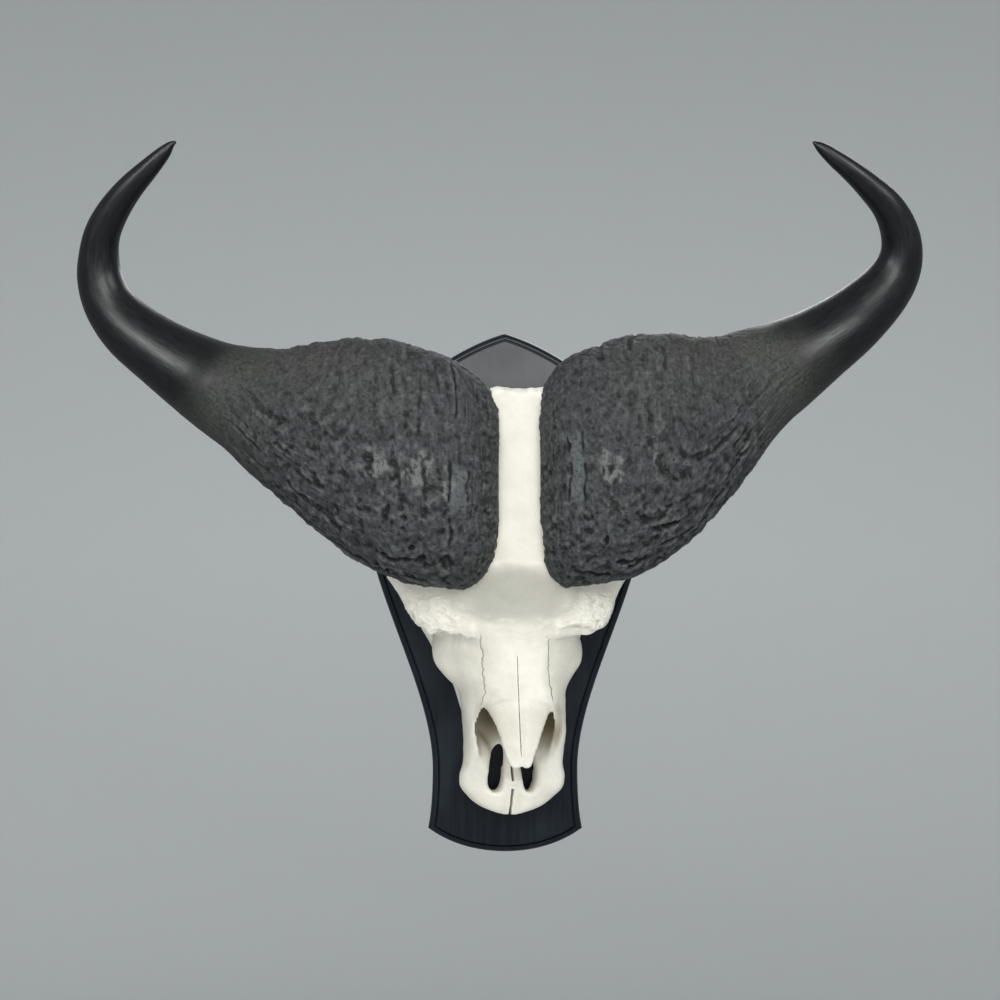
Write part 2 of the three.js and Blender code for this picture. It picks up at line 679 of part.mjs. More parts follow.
const mount = new THREE.Group();
mount.add(
  piece("plaque", makePlaque(), WOOD),
  piece("skull", skull, BONE),
  piece("horn_left", hornLeft, HORN),
  piece("horn_right", hornRight, HORN),
  piece("skull_screw_lower", skullScrew(SKULL_SCREWS[0]), STEEL),
  piece("skull_screw_upper", skullScrew(SKULL_SCREWS[1]), STEEL),
  piece("hanger_plate", makeHanger(), STEEL),
  piece("hanger_screw_lower", hangerScrew(HANGER_SCREWS[0]), STEEL),
  piece("hanger_screw_upper", hangerScrew(HANGER_SCREWS[1]), STEEL),
);

export default mount;
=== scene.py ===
# %% [markdown]
# # A Cape buffalo skull on its wall plaque
#
# A bull's skull, bleached and dried, is screwed face out to a black wooden shield. The two horns meet
# over the forehead in heavy rough bosses, then sweep out, up and in to smooth hooked tips.
#
# The solids of the part come first: they give every piece its place and size in metres. Each cell after
# that makes one piece finely enough to look real, in the place where its solid is.

# %% Load the solids of the part
import math
from itertools import product

import bpy
import numpy as np
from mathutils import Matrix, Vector


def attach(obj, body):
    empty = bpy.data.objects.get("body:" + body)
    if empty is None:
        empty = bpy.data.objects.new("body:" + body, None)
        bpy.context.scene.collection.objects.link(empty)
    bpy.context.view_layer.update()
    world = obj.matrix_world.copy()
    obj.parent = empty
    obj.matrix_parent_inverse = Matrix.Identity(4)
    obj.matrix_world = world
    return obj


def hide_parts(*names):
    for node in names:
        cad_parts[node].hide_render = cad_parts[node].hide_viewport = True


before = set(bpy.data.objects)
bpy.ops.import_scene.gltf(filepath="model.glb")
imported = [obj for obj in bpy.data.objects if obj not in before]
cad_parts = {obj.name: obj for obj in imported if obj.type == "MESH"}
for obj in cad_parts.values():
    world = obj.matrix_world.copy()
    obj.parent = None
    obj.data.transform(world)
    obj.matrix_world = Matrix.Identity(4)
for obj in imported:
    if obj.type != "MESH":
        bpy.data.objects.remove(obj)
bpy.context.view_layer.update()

# %% [markdown]
# ## The camera first
#
# The photograph was taken square to the wall from a little over two metres away, at the height of the
# eye sockets. A long lens keeps the tips of the horns, which lean forwards, from looking too big. Making
# the camera before any piece means that each piece can be checked against the photograph at once.

# %% The camera
FOCAL_PIXELS = 1830  # found from the horn spread and the distance, on a picture 1000 pixels wide
camera_data = bpy.data.cameras.new("camera")
camera_data.sensor_width = 36
camera_data.lens = 36 * FOCAL_PIXELS / 1000
camera = bpy.data.objects.new("camera", camera_data)
bpy.context.scene.collection.objects.link(camera)
camera.location = (-0.006, -2.2, 0.11)
camera.rotation_euler = (math.radians(90), 0, 0)
bpy.context.scene.camera = camera
bpy.context.scene.view_settings.view_transform = "Standard"
print("lens", round(camera_data.lens, 1), "mm")

# %% [markdown]
# ## Two helpers for colours and nodes
#
# Colours are written as the hex numbers that a paint chart or a picture editor shows. Shaders count
# light, so each is turned into linear numbers. The other helper adds one node with its settings and
# links, which keeps a material short enough to read.

# %% Colours and nodes
def linear(hex_colour):
    """An sRGB colour such as #c8b090 as the linear numbers that a shader needs."""
    parts = [int(hex_colour[i : i + 2], 16) / 255 for i in (1, 3, 5)]
    return [p / 12.92 if p <= 0.04045 else ((p + 0.055) / 1.055) ** 2.4 for p in parts] + [1]


def add(tree, kind, settings=None, **links):
    """Adds one node. Each link or value is named for its socket, with _ for a space, or by number as i6.

    A node given as a link stands for its first output that is in use.
    """
    node = tree.nodes.new(kind)
    for key, value in (settings or {}).items():
        setattr(node, key, value)
    for key, value in links.items():
        by_number = key[0] == "i" and key[1:].isdigit()
        socket = node.inputs[int(key[1:])] if by_number else node.inputs[key.replace("_", " ")]
        if isinstance(value, bpy.types.Node):
            value = next(output for output in value.outputs if output.enabled)
        if isinstance(value, bpy.types.NodeSocket):
            tree.links.new(value, socket)
        else:
            socket.default_value = value
    return node


# the kinds of node used most, and the settings they are used with
MIX, RANGE, MATH, NOISE = "ShaderNodeMix", "ShaderNodeMapRange", "ShaderNodeMath", "ShaderNodeTexNoise"
MAPPING, ATTRIBUTE = "ShaderNodeMapping", "ShaderNodeAttribute"
COLOUR, SOFT = {"data_type": "RGBA"}, {"interpolation_type": "SMOOTHSTEP"}
PLUS, TIMES = {"operation": "ADD"}, {"operation": "MULTIPLY"}
print("cream bone in linear numbers:", [round(v, 3) for v in linear("#f4f0e0")])

# %% [markdown]
# ## Soft studio light
#
# The real plaque shines grey near its top and falls to black lower down. A painted face is a dull
# mirror, so that gradient is the picture of a big soft light whose lower edge is just above the camera.
# A higher one rounds the bosses, a weaker low one keeps the jaw light, and neither shows in anything
# glossy. Two small ones to the sides are the reverse: they light nothing, and are only seen as the glow
# where each horn begins to be polished. All stand in a round pale studio.

# %% Lights and world
def soft_light(name, place, aim, size, glow, colour="#ffffff"):
    """A rectangle of light. Its glow is how bright its face looks, where white paper in the light is 1."""
    data = bpy.data.lights.new(name, "AREA")
    data.shape, data.size, data.size_y = "RECTANGLE", *size
    data.energy = glow * 4 * size[0] * size[1]
    data.color = linear(colour)[:3]
    lamp = bpy.data.objects.new(name, data)
    bpy.context.scene.collection.objects.link(lamp)
    lamp.visible_camera = False
    lamp.location = place
    lamp.rotation_euler = (Vector(aim) - Vector(place)).to_track_quat("-Z", "Y").to_euler()
    return lamp


FACE = (0, -0.15, 0.1)
soft_light("high softbox", (0.0, -1.9, 1.6), FACE, (2.2, 1.1), 2.9).visible_glossy = False
soft_light("low fill", (0.0, -1.9, -0.9), FACE, (2.4, 0.9), 1.9).visible_glossy = False
soft_light("front softbox", (0.0, -2.0, 0.74), (0, 0, 0.6), (1.4, 0.66), 4.9)
soft_light("rear softbox", (0.8, 2.4, 1.6), FACE, (1.8, 1.4), 2.6)
soft_light("wall wash", (0.0, 1.3, -0.9), (0, 5, 1.0), (3.0, 0.6), 4.5)
# these two are seen in the polished horns and light nothing else
SMALL = (0.55, 0.55)
soft_light("left glow", (-1.58, -1.80, 1.06), (-0.36, -0.16, 0.26), SMALL, 14).visible_diffuse = False
soft_light("right glow", (1.76, -1.55, 1.21), (0.34, -0.16, 0.28), SMALL, 12).visible_diffuse = False

world = bpy.data.worlds.new("studio")
bpy.context.scene.world = world
world.use_nodes = True
world.node_tree.nodes["Background"].inputs["Color"].default_value = linear("#e2e8ee")
world.node_tree.nodes["Background"].inputs["Strength"].default_value = 0.26
print(len(bpy.data.lights), "soft lights")

# %% A round pale studio
def studio(radius=5.0, floor=-1.5, cove=1.4, top=3.6, around=64):
    """A floor that curves up into a wall on every side."""
    turn = np.linspace(0, math.pi / 2, 14)
    profile = [(0.01, floor), (2.0, floor)]
    profile += [(radius - cove + cove * math.sin(a), floor + cove - cove * math.cos(a)) for a in turn]
    profile.append((radius, top))
    verts, faces = [], []
    for k in range(around):
        a = 2 * math.pi * k / around
        verts += [(r * math.cos(a), r * math.sin(a), z) for r, z in profile]
        here, there = k * len(profile), (k + 1) % around * len(profile)
        faces += [(here + i, there + i, there + i + 1, here + i + 1) for i in range(len(profile) - 1)]
    mesh = bpy.data.meshes.new("studio_paper")
    mesh.from_pydata(verts, [], faces)
    mesh.shade_smooth()
    paper = bpy.data.objects.new("studio_paper", mesh)
    bpy.context.scene.collection.objects.link(paper)
    material = bpy.data.materials.new("pale matt paper")
    material.use_nodes = True
    surface = material.node_tree.nodes["Principled BSDF"].inputs
    surface["Base Color"].default_value = linear("#dadddd")
    surface["Roughness"].default_value = 0.95
    surface["Specular IOR Level"].default_value = 0.2
    mesh.materials.append(material)
    paper.visible_glossy = False  # polished horn and paint stay black between their highlights
    return paper


studio()

# %% [markdown]
# ## Numbers into smooth surfaces
#
# Bone and horn have no flat faces or circles. Their shape is best given as a few measured slices, with a
# smooth curve drawn through them. The helpers here do only that: they blend rows of measurements, close
# a stack of rings into a skin, and hand the skin to Blender. Numbers are in millimetres and are read as
# the viewer does: across to the right, out of the wall, and up.

# %% Helpers for measured shapes
def blend_rows(rows, t):
    """A smooth curve through rows of numbers, read at each t from 0 to 1."""
    rows = np.asarray(rows, float)
    last = len(rows) - 1
    place = np.clip(np.asarray(t, float), 0, 1) * last
    i = np.minimum(place.astype(int), last - 1)
    w = (place - i).reshape(-1, *[1] * (rows.ndim - 1))
    a, b = rows[np.maximum(i - 1, 0)], rows[i]
    c, d = rows[i + 1], rows[np.minimum(i + 2, last)]
    v, u = (c - a) / 2, (d - b) / 2
    return (2 * b - 2 * c + v + u) * w**3 + (3 * c - 3 * b - 2 * v - u) * w**2 + v * w + b


def smooth_step(value, low, high):
    x = np.clip((value - low) / (high - low), 0, 1)
    return x * x * (3 - 2 * x)


def skin(rings):
    """Points and faces of a closed skin over rings of equal count, each end closed to its middle."""
    steps, count = rings.shape[:2]
    points = np.concatenate([rings.reshape(-1, 3), rings[0].mean(0)[None], rings[-1].mean(0)[None]])
    a = np.arange((steps - 1) * count)
    right = a - a % count + (a % count + 1) % count
    quads = np.stack([a, right, right + count, a + count], 1)
    j = np.arange(count)
    k, top = (j + 1) % count, (steps - 1) * count
    ends = [np.stack([k, j, np.full(count, steps * count)], 1)]
    ends.append(np.stack([top + j, top + k, np.full(count, steps * count + 1)], 1))
    return points, quads, np.concatenate(ends)


def make_piece(name, points, quads=(), triangles=()):
    """A mesh object from points in millimetres (across, out, up), with its faces pointing outwards."""
    points = np.asarray(points, float)
    world = np.stack([points[:, 0], -points[:, 1], points[:, 2]], 1) / 1000
    quads, triangles = np.asarray(quads, int).reshape(-1, 4), np.asarray(triangles, int).reshape(-1, 3)
    split = np.concatenate([triangles, quads[:, [0, 1, 2]], quads[:, [0, 2, 3]]])
    a, b, c = (world[split[:, k]] for k in range(3))
    if np.einsum("ij,ij->", a, np.cross(b, c)) < 0:
        quads, triangles = quads[:, ::-1], triangles[:, ::-1]
    mesh = bpy.data.meshes.new(name)
    mesh.vertices.add(len(world))
    mesh.vertices.foreach_set("co", world.ravel())
    mesh.loops.add(quads.size + triangles.size)
    mesh.loops.foreach_set("vertex_index", np.concatenate([quads.ravel(), triangles.ravel()]))
    sizes = np.concatenate([np.full(len(quads), 4), np.full(len(triangles), 3)])
    mesh.polygons.add(len(sizes))
    mesh.polygons.foreach_set("loop_start", np.concatenate([[0], np.cumsum(sizes)[:-1]]))
    mesh.update(calc_edges=True)
    mesh.shade_smooth()
    piece = bpy.data.objects.new(name, mesh)
    bpy.context.scene.collection.objects.link(piece)
    return piece


def points_of(piece):
    """A piece's points in millimetres, as (across, out, up)."""
    co = np.zeros(len(piece.data.vertices) * 3)
    piece.data.vertices.foreach_get("co", co)
    return co.reshape(-1, 3) * [1000, -1000, 1000]


def normals_of(piece):
    flat = np.zeros(len(piece.data.vertices) * 3, np.float32)
    piece.data.vertex_normals.foreach_get("vector", flat)
    return flat.reshape(-1, 3) * [1, -1, 1]


def put_points(piece, points):
    piece.data.vertices.foreach_set("co", (points * [0.001, -0.001, 0.001]).ravel())
    piece.data.update()


def note(piece, name, values):
    """Stores one number for each point, for the material to read."""
    values = np.asarray(values, np.float32)
    kind = "FLOAT" if values.ndim == 1 else "FLOAT_VECTOR"
    layer = piece.data.attributes.new(name, kind, "POINT")
    layer.data.foreach_set("value" if values.ndim == 1 else "vector", values.ravel())


def lattice(i, seed):
    """A repeatable random number from 0 to 1 for each whole-number point."""
    h = (i[..., 0] * 374761393 + i[..., 1] * 668265263 + i[..., 2] * 1103515245 + seed * 12345) & 0xFFFFFFFF
    h = ((h ^ (h >> 13)) * 1274126177) & 0xFFFFFFFF
    return ((h ^ (h >> 16)) & 0xFFFFFF) / 0xFFFFFF


def lumps(points, size, seed=0):
    """Smooth random height from -1 to 1, with lumps about `size` apart."""
    p = points / size
    i = np.floor(p).astype(np.int64)
    f = p - i
    f = f * f * (3 - 2 * f)
    total = 0
    for corner in product((0, 1), repeat=3):
        share = np.prod(np.where(np.array(corner), f, 1 - f), -1)
        total = total + share * lattice(i + np.array(corner), seed)
    return total * 2 - 1


# %% [markdown]
# ## The horns
#
# A horn is a sheath of keratin, the stuff of hooves, over a core of bone. It grows from its root, so it
# shows its history as bands across its length. On an old bull the root spreads into a boss: layer on
# layer, cracked, pitted and dry. Further out the same horn is worn and polished black.
#
# Slices measured from the photograph give the form. A grid of points is laid over them, close together
# on the boss, and pushed in and out by growth lines, flakes, grit and cracks. Real relief is used here
# and not only a material, because the edge of a boss against the wall shows every lump.

# %% The measured slices of the horns
# rows: across, out, up, half height, half depth, and how far the slice leans inwards in degrees
HORN_LEFT = [
    [-7.5, 197, 128, 52, 22, 0], [-9.5, 197, 132, 76, 30, 0], [-15, 197, 133, 91, 43, 0],
    [-26, 194, 132, 107, 57, 0], [-44, 192, 134, 120.5, 68, 0], [-72, 190, 142.5, 128, 75, 0],
    [-105, 188, 149.5, 131, 78, 0], [-138, 184, 159, 127.5, 77, 0], [-172, 177, 168, 120, 74, 0],
    [-206, 168, 179, 104.5, 69, 0], [-238, 158, 194, 86.5, 63, 6], [-264, 149, 207.5, 72.5, 57, 14],
    [-291, 139, 223.5, 61.5, 51, 23], [-317, 131, 236, 54.5, 46, 31], [-345, 121, 250, 48, 42, 36],
    [-389, 112, 276, 39.5, 36, 37], [-429, 106, 305, 34.3, 32, 43], [-453, 106, 334, 29.2, 28, 61],
    [-463, 110, 364, 25.7, 25, 81], [-462, 118, 392, 22.2, 22, 99], [-455, 128, 415, 19.8, 19.5, 115],
    [-440, 139, 438, 17.5, 17, 128], [-420, 150, 460, 14.6, 14.5, 136], [-396, 161, 481, 11.1, 11, 138],
    [-379, 168, 496, 7.6, 7.6, 138], [-370, 172, 504.5, 3.6, 3.6, 138], [-365, 173, 507, 1.2, 1.2, 138],
]
HORN_RIGHT = [
    [38, 197, 150, 42, 20, 0], [40.5, 197, 142, 78, 28, 0], [44, 197, 138, 97, 38, 0],
    [51, 195, 136, 112, 52, 0], [66, 192, 139.5, 124, 66, 0], [86, 190, 145, 128.5, 74, 0],
    [111, 188, 151, 131, 77, 0], [137, 185, 157.5, 132, 77, 0], [171, 178, 167.5, 125, 74, 0],
    [205, 167, 179, 112, 68, 0], [237, 155, 200, 91.5, 60, 6], [264, 145, 224, 73, 54, 14],
    [291, 135, 247, 59.5, 49, 22], [321, 124, 265, 51.5, 44, 29], [358, 113, 288, 43.5, 39, 34],
    [397, 106, 315, 37.5, 34, 39], [429, 106, 345, 32, 30.5, 49], [446, 110, 370, 27.5, 27, 67],
    [451, 118, 394, 23.4, 23.4, 91], [445, 128, 418, 20.8, 20.5, 114], [430, 140, 441, 17.8, 17.5, 131],
    [408, 151, 460, 14.6, 14.5, 141], [386, 161, 476, 11.8, 11.8, 145], [365, 168, 490, 9.2, 9, 146],
    [350, 172, 500.5, 6, 6, 146], [343, 173.5, 505, 2.6, 2.6, 146], [340.5, 174, 506.5, 1.2, 1.2, 146],
]
BOSS_RINGS, SMOOTH_RINGS, AROUND = 290, 84, 258  # points over a horn: along the boss, beyond it, round it
BOSS_END = 0.5  # the share of the slices where the last roughness fades out


def horn_rings(rows, side):
    """The plain form of a horn as rings of points, with each ring's t and the angle round it."""
    beyond = np.linspace(BOSS_END, 1, SMOOTH_RINGS + 1)[1:]
    t = np.concatenate([np.linspace(0, BOSS_END, BOSS_RINGS), beyond])
    row = blend_rows(rows, t)
    centre, lean = row[:, :3], np.radians(row[:, 5])
    along = np.gradient(blend_rows(rows, t)[:, :3], axis=0)
    along /= np.linalg.norm(along, axis=1)[:, None]
    high_way = np.stack([side * np.sin(lean), 0 * lean, np.cos(lean)], 1)
    square = smooth_step(row[:, 5], 0, 30)
    out = np.array([0.0, 1.0, 0.0])
    deep_way = out - along * (square * along[:, 1])[:, None]
    deep_way /= np.linalg.norm(deep_way, axis=1)[:, None]
    corner = 0.88 + 0.12 * square
    turn = np.linspace(0, 2 * np.pi, AROUND, endpoint=False)
    turn = turn + 0.36 * np.cos(turn)  # more points on the front, where the relief is seen
    bulge = lambda v: np.sign(v) * np.abs(v)[None] ** corner[:, None]
    rings = (
        centre[:, None]
        + (bulge(np.cos(turn)) * row[:, 3:4])[..., None] * high_way[:, None]
        + (bulge(np.sin(turn)) * row[:, 4:5])[..., None] * deep_way[:, None]
    )
    return rings, t, turn, centre


print("horn slices:", len(HORN_LEFT), "and", len(HORN_RIGHT))


# %% [markdown]
# ### Relief of the boss
#
# Growth lines run down beside the inner rim, then turn outwards along the underside, where the horn was
# dragged through mud and brush for years. Everything on the boss follows those lines: fine fibres, broad
# bands, long cracks and, below, folds like cooled lava. So two lengths are found for each point, across
# the lines and along them, and every pattern is noise that is short one way and long the other.

# %% Relief of the boss
def along_growth(s, turn):
    """Lengths in millimetres over a boss, across its growth lines and along them."""
    above_foot = 100 * np.arccos(np.clip(-np.cos(turn), -1, 1)) + 14
    across = -26 * np.log(np.exp(-s / 26) + np.exp(-above_foot / 26))
    return across, s - above_foot


def worn_strip(p, across, half, low, high):
    """A long smooth plate that stands between two grooves on the front of a boss."""
    up = p[:, 2] + 5 * lumps(p, 9, 72)
    off = np.abs(p[:, 0] - across + 2.5 * lumps(p * [0, 0, 1], 17, 70) + 2.2 * lumps(p, 7, 71)) - half
    front = smooth_step(up, low - 8, low + 6) * (1 - smooth_step(up, high - 8, high + 8))
    front *= smooth_step(p[:, 1], 215, 235)
    broken = smooth_step(lumps(p * [0, 0, 1], 13, 73), -0.5, 0.1)
    plate = (1 - smooth_step(off, -2.5, 0.5)) * front
    groove = (1 - smooth_step(np.abs(off - 1.2), 0.4, 2)) * front * broken
    return plate, groove


def boss_relief(p, s, turn, t, seed, strip):
    """Height in millimetres of everything on the boss, and what its material needs to know."""
    rough = 1 - smooth_step(t + 0.02 * lumps(p, 45, seed + 9), 0.39, 0.5)
    low = smooth_step(-np.cos(turn) + 0.35 * lumps(p, 50, seed + 8), -0.35, 0.6)
    rim = 1 - smooth_step(s, 22, 70)
    u, w = along_growth(s, turn)
    u = u + 5 * lumps(p, 42, seed) + 2.4 * lumps(p, 15, seed + 1)
    lines = lambda size, long, k: lumps(np.stack([u / size, w / long, p[:, 1] / 60], -1), 1, seed + k)
    crease = smooth_step(-lines(7.5, 26, 4) - 0.3 * lumps(p, 4, seed + 14), 0.22, 0.7)
    crease *= (0.25 + 0.75 * low) * (1 - 0.5 * rim)
    crack = smooth_step(-lines(6.5, 60, 5), 0.45, 0.75) * smooth_step(lumps(p, 34, seed + 6), -0.3, 0.2)
    flake = lines(24, 36, 7) + 0.25 * lumps(p, 7, seed + 15)
    flakes = smooth_step(flake, 0.0, 0.2) + 0.8 * smooth_step(flake, 0.3, 0.45)
    grit = lumps(p, 4.8, seed + 10) + 0.7 * lumps(p, 2.9, seed + 11)
    plate, groove = strip
    height = (
        (0.2 + 0.45 * rim) * (1 - 2 * np.abs(lines(3.3, 34, 2)))
        + 0.6 * (1 - 2 * np.abs(lines(10.5, 60, 3)))
        + 0.8 * flakes * (1 - 0.3 * low)
        + (0.6 + 0.4 * low) * grit
        + 1.3 * lumps(p, 31, seed + 12)
        + (0.9 + 0.9 * low) * lumps(p, 11, seed + 13)
        - 3.2 * crease
        - 1.9 * crack
    )
    height = height * (1 - 0.6 * plate) + 0.9 * plate - 1.8 * groove
    faint = 0.07 * np.sin(s / 3.4 + 2 * lumps(p, 60, seed)) * (1 - smooth_step(t, 0.5, 0.8))
    return height * rough + faint, rough, low, np.stack([u, w, p[:, 1]], 1) / 1000


# %% The two horns
def local_height(height, rounds=14):
    """Height over the mean of what lies near, so that it is below 0 in cracks and above 0 on ridges."""
    mean = height
    for _ in range(rounds):
        padded = np.concatenate([mean[:1], mean, mean[-1:]])
        mean = (padded[:-2] + padded[2:] + np.roll(mean, 1, 1) + np.roll(mean, -1, 1)) / 4
    return height - mean


def grow_horn(name, rows, side, seed, strip, worn_sheen_places):
    rings, t, turn, centre = horn_rings(rows, side)
    s = np.concatenate([[0], np.cumsum(np.linalg.norm(np.diff(centre, axis=0), axis=1))])
    across = np.roll(rings, -1, 1) - np.roll(rings, 1, 1)
    normal = np.cross(across, np.gradient(rings, axis=0))
    normal /= np.maximum(1e-9, np.linalg.norm(normal, axis=2))[..., None]
    if np.einsum("ijk,ijk->", normal, rings - centre[:, None]) < 0:
        normal = -normal
    flat = rings.reshape(-1, 3)
    each_s, each_t, each_turn = np.repeat(s, AROUND), np.repeat(t, AROUND), np.tile(turn, len(t))
    height, rough, low, lines = boss_relief(flat, each_s, each_turn, each_t, seed, worn_strip(flat, *strip))
    height = height * smooth_step(each_s, -1, 6)
    crumbly = smooth_step(each_s, -1, 2) * (1 - smooth_step(each_s, 14, 34))
    height = height + 1.1 * crumbly * lumps(flat * [0.6, 1, 1], 3.4, seed + 30)
    points, quads, ends = skin((flat + normal.reshape(-1, 3) * height[:, None]).reshape(rings.shape))
    horn = make_piece(name, points, quads, ends)
    ridge = local_height(height.reshape(len(t), AROUND)).ravel()
    worn_sheen = np.zeros(len(flat))
    # places on the ridges that are rubbed glossy; the material also paints a highlight on them
    for x, out, up, size in worn_sheen_places:
        reach = np.linalg.norm(flat - (x, out, up), axis=1) / size + 0.7 * lumps(flat, 8, seed + 20)
        worn_sheen = np.maximum(worn_sheen, (1 - smooth_step(reach, 0.6, 0.85)) * smooth_step(ridge, -0.3, 0.1))
    size = blend_rows(rows, t)[:, 3:5]
    growth = np.stack([each_s, np.repeat(size[:, 0], AROUND) * np.cos(each_turn),
                       np.repeat(size[:, 1], AROUND) * np.sin(each_turn)], 1) / 1000
    matt = 1 - smooth_step(each_t + 0.025 * lumps(flat, 30, seed + 21), 0.45, 0.555)
    dusty = smooth_step(np.cos(each_turn), 0.0, 0.8) * smooth_step(each_s, 60, 190) * matt
    for label, values in {"ridge": ridge, "worn_sheen": worn_sheen, "growth": growth, "rough": rough, "matt": matt,
                          "dust": dusty, "low": low, "lines": lines,
                          "plate": worn_strip(flat, *strip)[0]}.items():
        note(horn, label, np.concatenate([values, values[[0, -1]]]))
    print(name, len(quads) * 2 + len(ends), "triangles,", round(s[-1]), "mm along its middle,",
          "relief", round(height.min(), 1), "to", round(height.max(), 1), "mm")
    return horn


# worn places, rubbed glossy and lightened by a painted highlight: across, out, up, size
WORN_SHEEN_LEFT = [(-88, 266, 143, 22), (-138, 262, 150, 17), (-60, 262, 120, 12)]
WORN_SHEEN_RIGHT = [(116, 264, 146, 17), (212, 245, 175, 10), (165, 258, 152, 9)]
horn_left = grow_horn("horn_left_sheath", HORN_LEFT, 1, 11, (-51.5, 8, 99, 146), WORN_SHEEN_LEFT)
horn_right = grow_horn("horn_right_sheath", HORN_RIGHT, -1, 47, (75, 6.5, 108, 180), WORN_SHEEN_RIGHT)

# %% [markdown]
# ### What horn looks like
#
# Keratin is dark and a little translucent when polished, like a comb or a button, with an index of
# refraction near 1.55. The tips are rubbed smooth and nearly black. The boss is dry and its high places
# are worn, so its gloss follows the relief that each point stores. Its colour follows that relief as
# painted light: painted shade in its pits and creases, painted highlights on its ridges and worn places.

# %% The horn's material
def new_finish(name, **constants):
    """A material with one main shader. Numbers that are the same all over are set on it directly."""
    material = bpy.data.materials.new(name)
    material.use_nodes = True
    tree = material.node_tree
    tree.nodes.clear()
    shader = add(tree, "ShaderNodeBsdfPrincipled", None, **constants)
    add(tree, "ShaderNodeOutputMaterial", None, Surface=shader.outputs[0])
    return material, tree, shader


